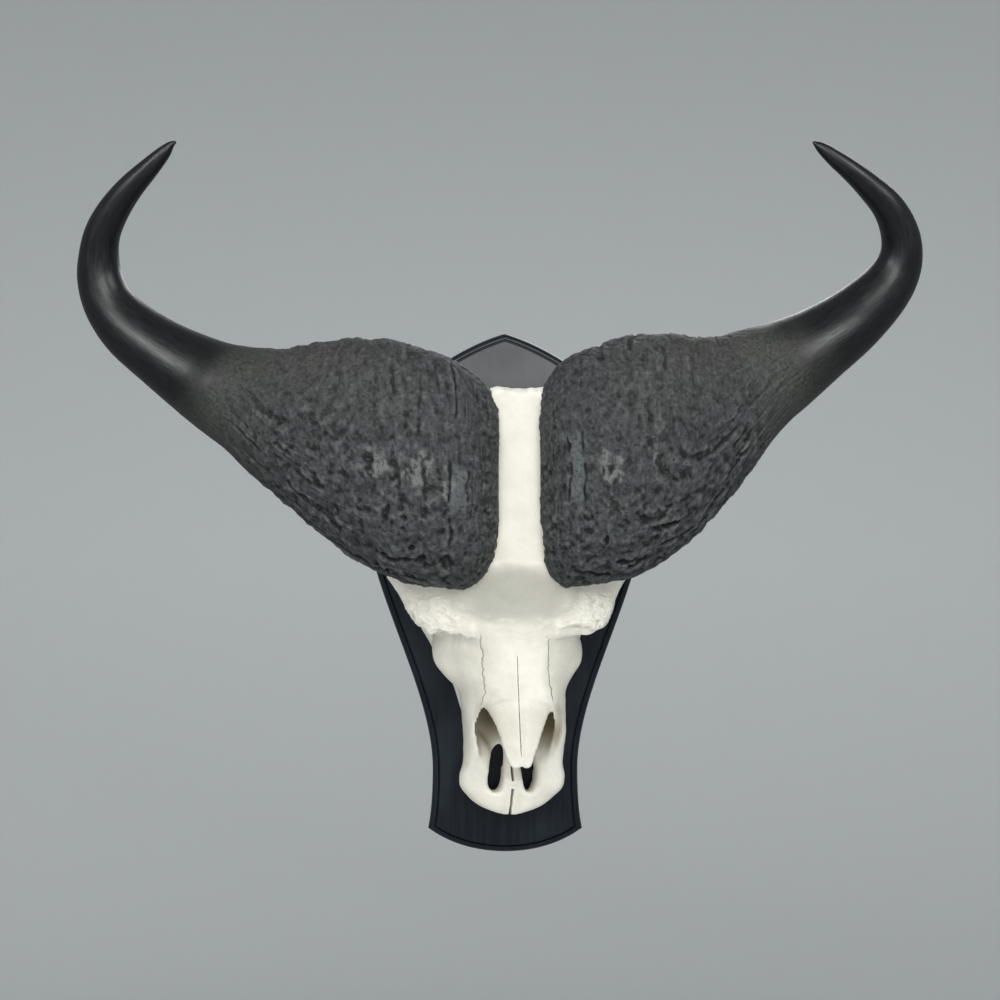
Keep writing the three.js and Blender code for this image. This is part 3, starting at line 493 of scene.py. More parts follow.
def horn_finish():
    # weathered keratin: the boss dry and matt, the free horn polished by years of rubbing
    material, tree, shader = new_finish("weathered and polished keratin", IOR=1.55)
    place = add(tree, "ShaderNodeTexCoord").outputs["Object"]
    ridge, worn_sheen, rough, matt, dust, plate, low = (
        add(tree, ATTRIBUTE, {"attribute_name": name}).outputs["Fac"]
        for name in ("ridge", "worn_sheen", "rough", "matt", "dust", "plate", "low")
    )
    growth, lines = (
        add(tree, ATTRIBUTE, {"attribute_name": name}).outputs["Vector"] for name in ("growth", "lines")
    )
    # pits 3 mm apart, fibres 2 mm wide along the growth lines, and creases about 6 mm wide between them
    patches = add(tree, NOISE, None, Vector=place, Scale=1 / 0.04, Detail=4.0)
    pits = add(tree, NOISE, None, Vector=place, Scale=1 / 0.0036, Detail=5.0, Roughness=0.68)
    strands = add(tree, MAPPING, None, Vector=lines, Scale=(480, 55, 30))
    strands = add(tree, NOISE, None, Vector=strands, Scale=1.0, Detail=4.0, Roughness=0.6)
    creases = add(tree, MAPPING, None, Vector=lines, Scale=(170, 52, 26))
    creases = add(tree, NOISE, None, Vector=creases, Scale=1.0, Detail=4.0, Roughness=0.6, Distortion=0.5)
    creases = add(tree, RANGE, SOFT, i0=creases, i1=0.42, i2=0.27)
    creases = add(tree, MATH, TIMES, i0=creases, i1=add(tree, RANGE, None, i0=low, i3=0.45, i4=1.0))
    combed = add(tree, MAPPING, None, Vector=growth, Scale=(30, 340, 340))
    fibres = add(tree, NOISE, None, Vector=combed, Scale=1.0, Detail=4.0)
    # colour: painted shade blackens the creases and pits, painted highlights grey the ridges and worn
    # places, dusty on top, black where it is polished
    # painted shade where the relief sinks below its neighbours, painted highlight where it rises above them
    dry = add(tree, RANGE, SOFT, i0=ridge, i1=-1.2, i2=0.3)
    dry = add(tree, MIX, COLOUR, i0=dry, i6=linear("#0b0c0d"), i7=linear("#404343"))
    dry = add(tree, MIX, COLOUR, i0=add(tree, RANGE, SOFT, i0=ridge, i1=0.2, i2=1.2), i6=dry,
              i7=linear("#5a5d5c"))
    share = add(tree, RANGE, SOFT, i0=patches, i1=0.42, i2=0.7, i3=0.0, i4=0.35)
    dry = add(tree, MIX, COLOUR, i0=share, i6=dry, i7=linear("#292b2c"))
    dry = add(tree, MIX, COLOUR, i0=add(tree, MATH, TIMES, i0=dust, i1=0.4), i6=dry, i7=linear("#484640"))
    dry = add(tree, MIX, COLOUR, i0=add(tree, MATH, TIMES, i0=plate, i1=0.5), i6=dry, i7=linear("#59605f"))
    # worn places: rubbed smooth, and lightened as a painted highlight
    dry = add(tree, MIX, COLOUR, i0=add(tree, MATH, TIMES, i0=worn_sheen, i1=0.5), i6=dry, i7=linear("#858683"))
    # painted shade in the pits and painted highlights on the grit between them
    share = add(tree, RANGE, SOFT, i0=pits, i1=0.5, i2=0.34, i3=0.0, i4=0.75)
    dry = add(tree, MIX, COLOUR, i0=share, i6=dry, i7=linear("#0e0f10"))
    share = add(tree, RANGE, SOFT, i0=pits, i1=0.55, i2=0.72, i3=0.0, i4=0.45)
    dry = add(tree, MIX, COLOUR, i0=share, i6=dry, i7=linear("#787a76"))
    # painted shade in the creases
    dry = add(tree, MIX, COLOUR, i0=add(tree, MATH, TIMES, i0=creases, i1=0.6), i6=dry,
              i7=linear("#0b0c0d"))
    smooth = add(tree, RANGE, SOFT, i0=fibres, i1=0.35, i2=0.7)
    smooth = add(tree, MIX, COLOUR, i0=smooth, i6=linear("#070909"), i7=linear("#101213"))
    matted = add(tree, RANGE, SOFT, i0=pits, i1=0.3, i2=0.7)
    matted = add(tree, MIX, COLOUR, i0=matted, i6=linear("#242624"), i7=linear("#474842"))
    smooth = add(tree, MIX, COLOUR, i0=matt, i6=smooth, i7=matted)
    tree.links.new(add(tree, MIX, COLOUR, i0=rough, i6=smooth, i7=dry).outputs[2],
                   shader.inputs["Base Color"])
    # gloss: creases are dull, ridges a little shiny, worn flakes and the free horn shinier
    gloss = add(tree, RANGE, SOFT, i0=ridge, i1=-0.8, i2=1.2, i3=0.78, i4=0.5)
    gloss = add(tree, MIX, None, i0=worn_sheen, i2=gloss, i3=0.3)
    satin = add(tree, RANGE, SOFT, i0=fibres, i1=0.3, i2=0.7, i3=0.34, i4=0.42)
    satin = add(tree, MIX, None, i0=matt, i2=satin, i3=0.56)
    tree.links.new(add(tree, MIX, None, i0=rough, i2=satin, i3=gloss).outputs[0],
                   shader.inputs["Roughness"])
    height = add(tree, MATH, TIMES, i0=pits, i1=0.0023)
    height = add(tree, MATH, PLUS, i0=height, i1=add(tree, MATH, TIMES, i0=strands, i1=0.0012))
    height = add(tree, MATH, PLUS, i0=height, i1=add(tree, MATH, TIMES, i0=creases, i1=-0.002))
    height = add(tree, MATH, TIMES, i0=height, i1=add(tree, RANGE, None, i0=plate, i3=1.0, i4=0.5))
    height = add(tree, MATH, TIMES, i0=height, i1=rough)
    fine = add(tree, MATH, TIMES, i0=pits, i1=0.00015)
    fine = add(tree, MATH, PLUS, i0=fine, i1=add(tree, MATH, TIMES, i0=fibres, i1=0.00016))
    height = add(tree, MATH, PLUS, i0=height, i1=fine)
    bump = add(tree, "ShaderNodeBump", None, Height=height, Distance=1.0, Strength=1.0)
    tree.links.new(bump.outputs[0], shader.inputs["Normal"])
    return material


keratin = horn_finish()
for horn, node in ((horn_left, "horn_left"), (horn_right, "horn_right")):
    horn.data.materials.append(keratin)
    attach(horn, "root")
    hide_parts(node)

# %% [markdown]
# ## The skull
#
# Under the horns is one piece of bone. The long tube of the head is drawn through slices, as the horns
# are, and the brows, cheekbones, socket rims, teeth and knobs are simpler forms joined to it. Cutting
# the sockets, the nose and the palate out of it leaves thin walls like the real ones. The head is hung
# with its nose turned a little to the right, so every form is made straight and then pushed across.

# %% Slices of the head
# each slice: up, then [across, out] points of one half, from the brow side round to the palate side
SKULL_SECTIONS = [
    [233, [0, 196], [14, 196], [22, 195], [26, 192], [26, 186], [20, 180], [10, 178], [0, 178]],
    [226, [0, 201], [22, 201], [34, 196], [44, 184], [46, 166], [38, 148], [20, 140], [0, 140]],
    [207, [0, 204], [27, 204], [52, 197], [68, 178], [72, 135], [60, 102], [30, 90], [0, 92]],
    [180, [0, 206], [27, 206], [56, 197], [72, 176], [74, 120], [62, 86], [30, 76], [0, 78]],
    [140, [0, 208], [27, 208], [58, 197], [72, 174], [62, 118], [52, 90], [28, 76], [0, 78]],
    [95, [0, 208], [27, 208], [60, 196], [70, 174], [54, 120], [46, 94], [26, 80], [0, 80]],
    [50, [0, 206], [28, 206], [64, 192], [70, 172], [52, 122], [42, 100], [24, 86], [0, 86]],
    [20, [0, 203], [30, 201], [66, 187], [78, 166], [56, 124], [42, 100], [26, 84], [0, 82]],
    [-5, [0, 197], [32, 195], [66, 181], [80, 161], [60, 122], [48, 94], [42, 56], [0, 56]],
    [-30, [0, 187], [32, 184], [60, 171], [76, 150], [74, 112], [62, 80], [51, 46], [0, 54]],
    [-52, [0, 177], [30, 174], [44, 164], [68, 141], [84, 110], [77, 78], [51, 44], [0, 52]],
    [-75, [0, 168.5], [26, 166], [40, 156], [62, 132], [83.5, 104], [76, 76], [51, 42], [0, 51]],
    [-92, [0, 163], [26, 160], [39, 151], [57, 128], [73, 100], [68, 74], [50, 42], [0, 50]],
    [-108, [0, 158], [26, 155], [38, 146], [53, 124], [61.5, 98], [60, 72], [50, 43], [0, 50]],
    [-123, [0, 152], [25, 149], [38, 141], [50, 123], [59, 97], [58, 72], [50, 45], [0, 50]],
    [-137, [0, 146], [25, 143], [40, 135], [50, 124], [58, 98], [57.5, 72], [51, 48], [0, 48]],
    [-155, [0, 118], [25, 118], [43, 119], [53, 112], [57.5, 92], [57, 68], [51, 48], [0, 47]],
    [-178, [0, 98], [25, 98], [43, 100], [52, 95], [57, 80], [56.5, 64], [50, 46], [0, 46]],
    [-197, [0, 83], [25, 83], [43, 85], [52, 82], [57.5, 70], [57, 58], [50, 45], [0, 45]],
    [-211, [0, 73], [22, 74], [43, 76], [55, 73], [61, 63], [59, 53], [50, 43], [0, 43]],
    [-225, [0, 66], [20, 67], [40, 69], [54, 66], [60, 57], [57, 48], [46, 40], [0, 40]],
    [-238, [0, 60], [18, 61], [35, 61], [45, 58], [50, 51], [47, 43], [36, 39], [0, 38]],
    [-250, [0, 54], [14, 56], [25, 55], [32, 52], [35.5, 47], [32, 42], [22, 39], [0, 38]],
    [-257, [0, 50], [8, 51], [14, 50.5], [17, 49], [18, 46], [16, 43], [10, 41.5], [0, 41]],
    [-260, [0, 47], [3, 47.2], [6, 47], [8, 46.5], [8, 46], [7, 45], [4, 44.5], [0, 44.5]],
]
SKULL_TURN, TURN_DEPTH = 0.17, 100
SKULL_LINE = [
    [233, -1], [100, -6], [0, -5], [-55, 1], [-91, 4], [-108, 8.5], [-125, 11], [-168, 13.5], [-225, 14.8],
    [-262, 14.5],
]
line_points = blend_rows([[-up, across] for up, across in SKULL_LINE], np.linspace(0, 1, 81))


def line_across(up):
    """How far across the middle line of the head lies at a height."""
    return np.interp(-up, line_points[:, 0], line_points[:, 1])


def hang(points, side=1):
    """A point of the straight head put where it really is; side -1 gives its mirror image."""
    turned = SKULL_TURN * (points[:, 1] - TURN_DEPTH)
    return np.column_stack([side * points[:, 0] + line_across(points[:, 2]) + turned, points[:, 1:]])


def unhang(points):
    turned = SKULL_TURN * (points[:, 1] - TURN_DEPTH)
    return np.column_stack([points[:, 0] - line_across(points[:, 2]) - turned, points[:, 1:]])


def closed_curve(points, samples):
    """A smooth closed curve through points that doesn't overshoot where they crowd."""
    p = np.asarray(points, float)
    n = len(p)
    place = np.linspace(0, n, samples, endpoint=False)
    i = place.astype(int)
    w = (place - i)[:, None]
    step = np.maximum(np.linalg.norm(np.roll(p, -1, 0) - p, axis=1) ** 0.5, 1e-3)[:, None]
    a, b, c, d = p[(i - 1) % n], p[i], p[(i + 1) % n], p[(i + 2) % n]
    da, db, dc = step[(i - 1) % n], step[i], step[(i + 1) % n]
    v = ((b - a) / da - (c - a) / (da + db) + (c - b) / db) * db
    u = ((c - b) / db - (d - b) / (db + dc) + (d - c) / dc) * db
    return b + v * w + (3 * c - 3 * b - 2 * v - u) * w**2 + (2 * b - 2 * c + v + u) * w**3


print("the nose is", round(float(line_across(-225) - line_across(100)), 1), "mm right of the brow's middle")


# %% Forms that the skull is put together from
def head_form(steps=230, around=128):
    rows = [[up, *np.ravel(half)] for up, *half in SKULL_SECTIONS]
    rings = []
    for up, *numbers in blend_rows(rows, np.linspace(0, 1, steps)):
        half = np.reshape(numbers, (8, 2))
        ring = closed_curve(np.concatenate([half, half[-2:0:-1] * [-1, 1]]), around)
        rings.append(np.column_stack([ring, np.full(around, up)]))
    return skin(np.array(rings))


def oval_bar(rows, wide, deep, steps=24, around=32):
    """A bar through centres (across, out, up) with two half sizes along the directions wide and deep."""
    row = blend_rows(rows, np.linspace(0, 1, steps + 1))
    turn = np.linspace(0, 2 * np.pi, around, endpoint=False)
    rings = row[:, None, :3] + (np.cos(turn) * row[:, 3:4])[..., None] * wide
    return skin(rings + (np.sin(turn) * row[:, 4:5])[..., None] * deep)


def ball(centre, sizes, around=24):
    rise = np.linspace(-np.pi / 2, np.pi / 2, around // 2 + 1)[1:-1]
    rows = [[0, 0, np.sin(a), np.cos(a), np.cos(a)] for a in rise]
    points, quads, ends = oval_bar(rows, ACROSS, OUT, 2 * around, around)
    return points * sizes + centre, quads, ends


def turned(profile, centre, axis, around=40):
    """A shape turned on a lathe from (radius, distance) pairs along an axis."""
    a = np.cross(axis, [0, 1, 0.3])
    a /= np.linalg.norm(a)
    b = np.cross(axis, a)
    turn = np.linspace(0, 2 * np.pi, around, endpoint=False)
    circle = np.cos(turn)[:, None] * a + np.sin(turn)[:, None] * b
    return skin(np.array([centre + r * circle + h * axis for r, h in profile]))


def hoop(centre, axis, radius, thick, wide, around=64, sides=18):
    """A closed ring, thick across its radius and wide along its axis."""
    turn = np.linspace(0, 2 * np.pi, sides, endpoint=False)
    profile = np.column_stack([radius + thick * np.cos(turn), wide * np.sin(turn)])
    points, quads, _ = turned(profile, centre, axis, around)
    last, count = (sides - 1) * around, sides * around
    j = np.arange(around)
    k = (j + 1) % around
    return points[:count], np.concatenate([quads, np.stack([last + j, last + k, k, j], 1)]), ()


ACROSS, OUT, UP = np.eye(3)
print("head form:", len(head_form()[0]), "points")

# %% Measured bars of the skull
# rows: across, out, up, then the two half sizes
BROW = [
    [45, 168, 5, 50, 20],
    [70, 163, 5, 46, 16],
    [88, 158, 3, 43, 13],
    [104, 153, 8, 33, 10.5],
    [118, 149, 19, 20, 8],
    [129, 146, 25, 9.5, 5.5],
    [135, 145, 27, 4, 3],
]
CHEEKBONE = [
    [66, 86, -78, 10, 13],
    [73, 86, -58, 11, 15],
    [84, 85, -34, 11, 14],
    [97, 85, -8, 9, 11],
    [103, 88, 24, 6, 10],
    [102, 91, 56, 5, 10],
    [93, 95, 88, 6, 11],
    [77, 100, 114, 8, 12],
    [62, 102, 132, 8, 12],
]
NOSE_HOLLOW = [
    [0, 96, -40, 24, 28],
    [0, 98, -80, 31, 35],
    [-1, 101, -103, 37, 43],
    [-2, 103, -112, 43, 54],
    [-1.5, 104, -120, 44, 64],
    [-2.5, 105, -130, 46, 65],
    [-4, 106, -140, 46.5, 60],
    [-5, 106, -152, 45.5, 54],
    [-4, 102, -170, 42, 48],
    [-2, 94, -188, 37, 37],
    [0, 87, -205, 29, 26],
    [0, 80, -222, 13, 12],
]
# bone that lies as a slope on the floor of the nose, outside the gaps of the palate
NOSE_SLOPE = [
    [47, 66, -150, 3, 5],
    [44, 66, -166, 11, 15],
    [41, 65, -182, 16, 19],
    [38, 62, -198, 16, 17],
    [34, 58, -212, 13, 12],
    [29, 55, -222, 6, 6],
]
PALATE_GAP = [
    [12, 52, -175, 2, 30],
    [15, 52, -183, 6.5, 30],
    [19, 52, -196, 10.5, 30],
    [20, 52, -208, 10.5, 30],
    [20, 52, -221, 9.5, 30],
    [19.5, 52, -229, 6.5, 30],
    [19.5, 52, -232.5, 2, 30],
]
TOOTH_RIDGE = [
    [43, 46, -150, 6, 6],
    [45, 44, -132, 11, 10],
    [49, 43, -80, 14, 12],
    [49, 44, -25, 14, 13],
    [46, 50, 6, 9, 14],
    [42, 62, 18, 4, 8],
]
SIDE_PROCESS = [
    [54, 100, 196, 12, 9],
    [52, 78, 190, 10, 7],
    [49, 50, 182, 7, 5],
    [46, 22.3, 176, 3.5, 3],
]
PALATE_PLATE = [
    [27, 60, -8, 3, 12],
    [25, 66, 15, 3, 13],
    [22, 74, 40, 3.5, 13],
    [20, 82, 66, 4, 9],
]
# nasal bones: up, inner edge, outer edge on the left and on the right, out at the middle line
NASAL = [
    [-62, 0, 36, 35, 173.5],
    [-98, 0, 39, 36.5, 161.5],
    [-112, 0.2, 42.5, 37, 156.8],
    [-119, 0.2, 42, 35.5, 154.5],
    [-128, 0.4, 37.5, 31.5, 151.5],
    [-141, 0.5, 31, 26, 147],
    [-155, 0.5, 26, 21.5, 142],
    [-172, 0.6, 20.5, 16.5, 136],
    [-184, 0.7, 16, 13, 131.5],
    [-190, 0.9, 13.5, 11.5, 129.5],
    [-194, 2.6, 10.5, 8.5, 127.5],
]
# cheek teeth of one side from the front one back: length along the jaw, width, place across
TEETH = [
    [14, 13, 43],
    [17, 16, 45],
    [18, 18, 47],
    [23, 21, 49],
    [27, 23, 50],
    [28, 22, 49],
]
SOCKET_CENTRE = np.array([98, 114, -6.0])
SOCKET_LOOKS = np.array([0.84, -0.05, -0.54]) / np.linalg.norm([0.84, -0.05, -0.54])
SOCKET_R, SOCKET_THICK, SOCKET_WIDE = 35, 6.5, 8
print("eye sockets", 2 * (SOCKET_R - SOCKET_THICK), "mm clear across")


# %% Nasal bones and teeth
def nasal_bone(column, steps=90, across_count=14):
    """One of the two long plates over the nose, thick enough to show an edge."""
    rows = blend_rows(NASAL, np.linspace(0, 1, steps)).T
    up, inner, outer, out = rows[0], rows[1], rows[column], rows[4]
    share = np.linspace(0, 1, across_count)
    across = inner[:, None] + (outer - inner)[:, None] * share
    top = out[:, None] - 0.0085 * across**2 - 1.2 * np.abs(2 * share - 1) ** 8
    under = out[:, None] - 0.0085 * across**2 - 4.5 + 0.6 * np.abs(2 * share - 1) ** 8
    rings = np.concatenate([np.stack([across, top], -1), np.stack([across, under], -1)[:, ::-1]], 1)
    heights = np.broadcast_to(up[:, None, None], (steps, 2 * across_count, 1))
    return skin(np.concatenate([rings, heights], -1))


def tooth(up, length, width, across):
    """A molar with two lobes along the jaw, ribs on its outer face, and a narrower chewing face."""
    turn = np.linspace(0, 2 * np.pi, 36, endpoint=False)
    lobes = 1 + 0.09 * np.cos(4 * turn) - 0.05 * np.cos(2 * turn)
    lobes = lobes + 0.035 * np.cos(10 * turn) * (np.cos(turn) > 0)
    rings = []
    for out, k in ((56, 0.94), (44, 1.0), (32, 1.0), (26, 0.93), (23.4, 0.84), (22.4, 0.72)):
        a, b = k * width / 2 * lobes * np.cos(turn), k * (length - 0.8) / 2 * lobes * np.sin(turn)
        rings.append(np.column_stack([across + a, np.full(36, float(out)), up + b]))
    return skin(np.array(rings))


def row_of_teeth():
    up, found = -138, []
    for length, width, across in TEETH:
        found.append(tooth(up + length / 2, length, width, across))
        up += length
    return found


print(len(row_of_teeth()), "cheek teeth on each side")


# %% Joining and cutting
def change(whole, part, operation):
    """Joins a part to the whole or cuts it out, and leaves the whole a plain mesh."""
    modifier = whole.modifiers.new(operation, "BOOLEAN")
    modifier.operation, modifier.solver, modifier.object = operation, "MANIFOLD", part
    graph = bpy.context.evaluated_depsgraph_get()
    made = bpy.data.meshes.new_from_object(whole.evaluated_get(graph))
    whole.modifiers.clear()
    before, whole.data = whole.data, made
    if len(made.vertices) in (0, len(before.vertices)):
        print("no change from", part.name)
    bpy.data.meshes.remove(before)
    bpy.data.meshes.remove(part.data)


def change_both(whole, form, operation):
    for side in (1, -1):
        change(whole, make_piece("part", hang(form[0], side), *form[1:]), operation)


def change_middle(whole, form, operation):
    change(whole, make_piece("part", hang(form[0]), *form[1:]), operation)


form = head_form()
skull = make_piece("skull_bone", hang(form[0]), *form[1:])
for rows, wide, deep in ((BROW, UP, OUT), (CHEEKBONE, ACROSS, OUT)):
    change_both(skull, oval_bar(rows, wide, deep, 48, 40), "UNION")
mouth = SOCKET_R - 5
socket = [(1, -60), (9, -59.5), (15, -57), (20, -50), (24, -42), (mouth, -14), (mouth, 30)]
change_both(skull, turned(socket, SOCKET_CENTRE, SOCKET_LOOKS), "DIFFERENCE")
change_both(skull, oval_bar(TOOTH_RIDGE, ACROSS, OUT), "UNION")
change_middle(skull, oval_bar(NOSE_HOLLOW, ACROSS, OUT, 60, 64), "DIFFERENCE")
change_both(skull, oval_bar(NOSE_SLOPE, ACROSS, OUT, 30, 32), "UNION")
for side, share in ((-1, 1.0), (1, 0.8)):
    points, *faces = oval_bar(np.array(PALATE_GAP) * [1, 1, 1, share, 1], ACROSS, OUT, 30, 24)
    change(skull, make_piece("part", hang(points, side), *faces), "DIFFERENCE")
change_middle(skull, ball((0, 64, 38), (15, 17, 36)), "DIFFERENCE")
for form in (ball((24, 80, 203), (14, 19, 17)), ball((31, 78, 142), (12, 15, 20))):
    change_both(skull, form, "UNION")
change_both(skull, oval_bar(SIDE_PROCESS, ACROSS, UP), "UNION")
change_both(skull, oval_bar(PALATE_PLATE, ACROSS, OUT), "UNION")
change_middle(skull, ball((0, 92, 226), (17, 15, 26)), "DIFFERENCE")
change_both(skull, ball((66, 104, 128), (16, 20, 28)), "UNION")
change_both(skull, hoop(SOCKET_CENTRE, SOCKET_LOOKS, SOCKET_R, SOCKET_THICK, SOCKET_WIDE), "UNION")
for side, column in ((-1, 2), (1, 3)):
    points, *faces = nasal_bone(column)
    change(skull, make_piece("part", hang(points, side), *faces), "UNION")
for form in row_of_teeth():
    change_both(skull, form, "UNION")
print("skull forms joined:", len(skull.data.vertices), "points")

# %% [markdown]
# ### From joined forms to bone
#
# Joined forms still look joined. Bone grows as one skin, so the whole is cast again as a fine even mesh
# and its creases are eased, much as a carver rubs down a joint. Only then does the real surface go on:
# the ropey brows and their ragged lower lip, the wavy line where brow and nose bones knit, the dip of
# the forehead, and slow hollows. The pores are left to the material.

# %% One even skin, eased
VOXEL = 0.0022  # metres, the finest that keeps the skull under 200,000 triangles
EASE_ROUNDS, SOFT_ROUNDS = 22, 55


def recast(piece, voxel):
    modifier = piece.modifiers.new("recast", "REMESH")
    modifier.mode, modifier.voxel_size, modifier.adaptivity = "VOXEL", voxel, 0
    graph = bpy.context.evaluated_depsgraph_get()
    made = bpy.data.meshes.new_from_object(piece.evaluated_get(graph))
    piece.modifiers.clear()
    before, piece.data = piece.data, made
    bpy.data.meshes.remove(before)


def ease(piece, points, rounds, inward=0.5, outward=-0.52, share=1.0):
    """Averages each point with its neighbours in and out again, which eases creases but keeps the size."""
    edges = np.zeros(len(piece.data.edges) * 2, np.int64)
    piece.data.edges.foreach_get("vertices", edges)
    a, b = edges.reshape(-1, 2).T
    count = len(points)
    degree = np.bincount(a, minlength=count) + np.bincount(b, minlength=count)
    share = np.broadcast_to(np.asarray(share, float), count)[:, None]
    for step in (inward, outward) * rounds:
        total = [
            np.bincount(a, points[b, k], count) + np.bincount(b, points[a, k], count) for k in range(3)
        ]
        mean = np.stack(total, 1) / np.maximum(degree, 1)[:, None]
        points = points + step * share * (mean - points)
    return points


recast(skull, VOXEL)
bone_points = points_of(skull)
straight = unhang(bone_points)
on_tooth = (straight[:, 1] < 33) & (straight[:, 2] > -140) & (straight[:, 2] < 0)
on_nasal = (straight[:, 2] < -95) & (straight[:, 1] > 120) & (np.abs(straight[:, 0]) < 42)
keep_crisp = np.where(on_tooth | on_nasal, 0.45, 1.0)
bone_points = ease(skull, bone_points, EASE_ROUNDS, share=keep_crisp)
nose_floor = smooth_step(straight[:, 2], -236, -224) * (1 - smooth_step(straight[:, 2], -186, -150))
nose_floor *= (1 - smooth_step(straight[:, 1], 88, 104)) * (1 - smooth_step(np.abs(straight[:, 0]), 40, 50))
nose_floor *= smooth_step(straight[:, 1], 44, 50)
back = smooth_step(straight[:, 2], 100, 120) * (1 - smooth_step(straight[:, 1], 92, 112))
softer = np.maximum(0.8 * nose_floor, 0.35 * back)  # these two places are eased much more
bone_points = ease(skull, bone_points, SOFT_ROUNDS, outward=0.0, share=softer)
put_points(skull, bone_points)
print("one skin of", len(bone_points), "points")


# %% The surface of the bone
def near(points, centre, sizes):
    """1 at a place, fading to 0 at the given distances from it."""
    return 1 - smooth_step(np.linalg.norm((points - centre) / sizes, axis=1), 0.35, 1)


# the lower lip of the brow over each cheek: across and up
BROW_LIP = [
    (-110, -20), (-103, -23), (-81.6, -41), (-75, -34), (-57, -38.6), (-32, -43), (-10, -40), (20, -37),
    (45, -33), (64, -31), (79, -29.5), (107, -33.4), (114, -22),
]


def brow_lip(p):
    """Over each cheek the brow stands proud above a ragged edge, and the cheek starts deeper below it."""
    across, up = np.array(BROW_LIP).T
    ragged = 2.2 * lumps(p * [1, 0, 0], 7, 61) + 1.1 * lumps(p * [1, 0, 0], 2.8, 62)
    above = p[:, 2] - np.interp(p[:, 0], across, up) - ragged
    strength = smooth_step(np.abs(p[:, 0] - 13), 36, 66)
    shelf = smooth_step(above, -1.5, 2.5) * (1 - 0.85 * smooth_step(above, 6, 42))
    under = (1 - smooth_step(above, -3, 1)) * smooth_step(above, -20, -3)
    socket = 1.4 + 4.5 * np.exp(-(((p[:, 0] + 62) / 17) ** 2))
    return strength * (3.2 * shelf - socket * under) * smooth_step(p[:, 1], 118, 140)


def bone_relief(p, q):
    """Millimetres of height over the bone. p is where a point is, q its place on the straight head."""
    front = smooth_step(q[:, 1], 100, 150)
    mirrored = np.column_stack([np.abs(q[:, 0]), q[:, 1], q[:, 2]])
    brow = near(mirrored, (84, 152, -16), (62, 60, 32)) * front
    knit = near(mirrored, (8, 178, -28), (64, 44, 18)) * front
    crest = smooth_step(q[:, 2], 216, 232)
    drift = p + np.stack([lumps(p, 20, k) for k in (14, 15, 16)], 1) * 6
    ropes = 1 - 2 * np.abs(lumps(drift * [0.42, 1, 1.35], 6.5, 21))
    fine_ropes = 1 - 2 * np.abs(lumps(drift * [0.6, 1, 1.3], 4.2, 22))
    wavy = 1 - 2 * np.abs(lumps(drift * [0.4, 1, 1.2], 9, 23))
    height = 0.5 * lumps(p, 34, 3) + 0.28 * lumps(p, 12, 4) + 0.1 * lumps(p, 5, 6)
    height += brow * (1.2 * ropes + 0.6 * fine_ropes) + knit * 0.8 * wavy
    height += crest * (1.1 * lumps(p, 7, 8) + 1.6 * smooth_step(np.abs(q[:, 0]), 14, 26))
    height -= 5.5 * near(mirrored, (0, 198, 10), (62, 60, 36)) * front
    hole = near(mirrored, (55, 92, -112), (7, 9, 9))
    return height + brow_lip(p) - 4.0 * hole


skull.data.update()
place = unhang(bone_points)
height = bone_relief(bone_points, place)
quiet = np.where(place[:, 1] < 24, 0, 1)
bone_points = bone_points + normals_of(skull) * (height * quiet)[:, None]
put_points(skull, bone_points)
print("relief from", round(height.min(), 1), "to", round(height.max(), 1), "mm")

# %% [markdown]
# ### Seams and the split jaw
#
# Skull bones meet in seams. The seam between the nasal bones is straight and fine, the ones beside them
# wander like cracks in mud, and the halves of the front jaw never join. They are finer than the even
# mesh, so they are cut last, each with a thin wedge that follows its line over the surface.

# %% Seams cut with thin wedges
def crack(line, width, depth, wander, seed, step=1.6):
    """A wedge along a line of (across, up) points, laid on the front of the skull."""
    line = np.asarray(line, float)
    far = np.concatenate([[0], np.cumsum(np.linalg.norm(np.diff(line, axis=0), axis=1))])
    at_far = np.linspace(0, far[-1], int(far[-1] / step) + 2)
    across, up = (np.interp(at_far, far, line[:, k]) for k in (0, 1))
    jitter = np.stack([at_far / 3.2, 0 * at_far, 0 * at_far], 1)
    across = across + wander * lumps(jitter, 1, seed) + 0.5 * wander * lumps(jitter * 2.7, 1, seed + 1)
    taper = np.minimum(1, np.minimum(at_far + 1.5, far[-1] - at_far + 1.5) / 9)
    half = width / 2 * taper * (1 + 0.35 * lumps(jitter * 1.6, 1, seed + 2))
    rings = []
    for x, z, w in zip(across, up, half):
        hit, spot, _, _ = skull.ray_cast(Vector((x / 1000, -0.4, z / 1000)), Vector((0, 1, 0)))
        out = -spot.y * 1000 if hit else 150
        foot, tip = out + 2, out - depth
        rings.append([(x - w, foot, z), (x + w, foot, z), (x + 0.2 * w, tip, z), (x - 0.2 * w, tip, z)])
    return skin(np.array(rings))


NOSE_SEAM = [(12.6, -60), (13.4, -66), (14.4, -96), (15.7, -128), (17.4, -166), (18.3, -181)]
LEFT_SEAM = [
    (-28.4, -38), (-27.4, -45.4), (-25.2, -65.2), (-26.2, -81), (-22.8, -97), (-24.4, -113), (-27.5, -121),
]
RIGHT_SEAM = [(47.0, -38), (47.6, -45), (48.8, -62), (47.7, -81), (49.6, -97), (53.4, -111), (53.6, -117)]
# width, depth, how far it wanders, and the seed of its wandering
SEAMS = ((NOSE_SEAM, 1.5, 4, 0.15, 3), (LEFT_SEAM, 2.2, 3.6, 1.4, 11), (RIGHT_SEAM, 1.9, 3.6, 1.3, 17))
cuts = [crack(*seam) for seam in SEAMS]
for cut in cuts:
    change(skull, make_piece("cut", *cut), "DIFFERENCE")


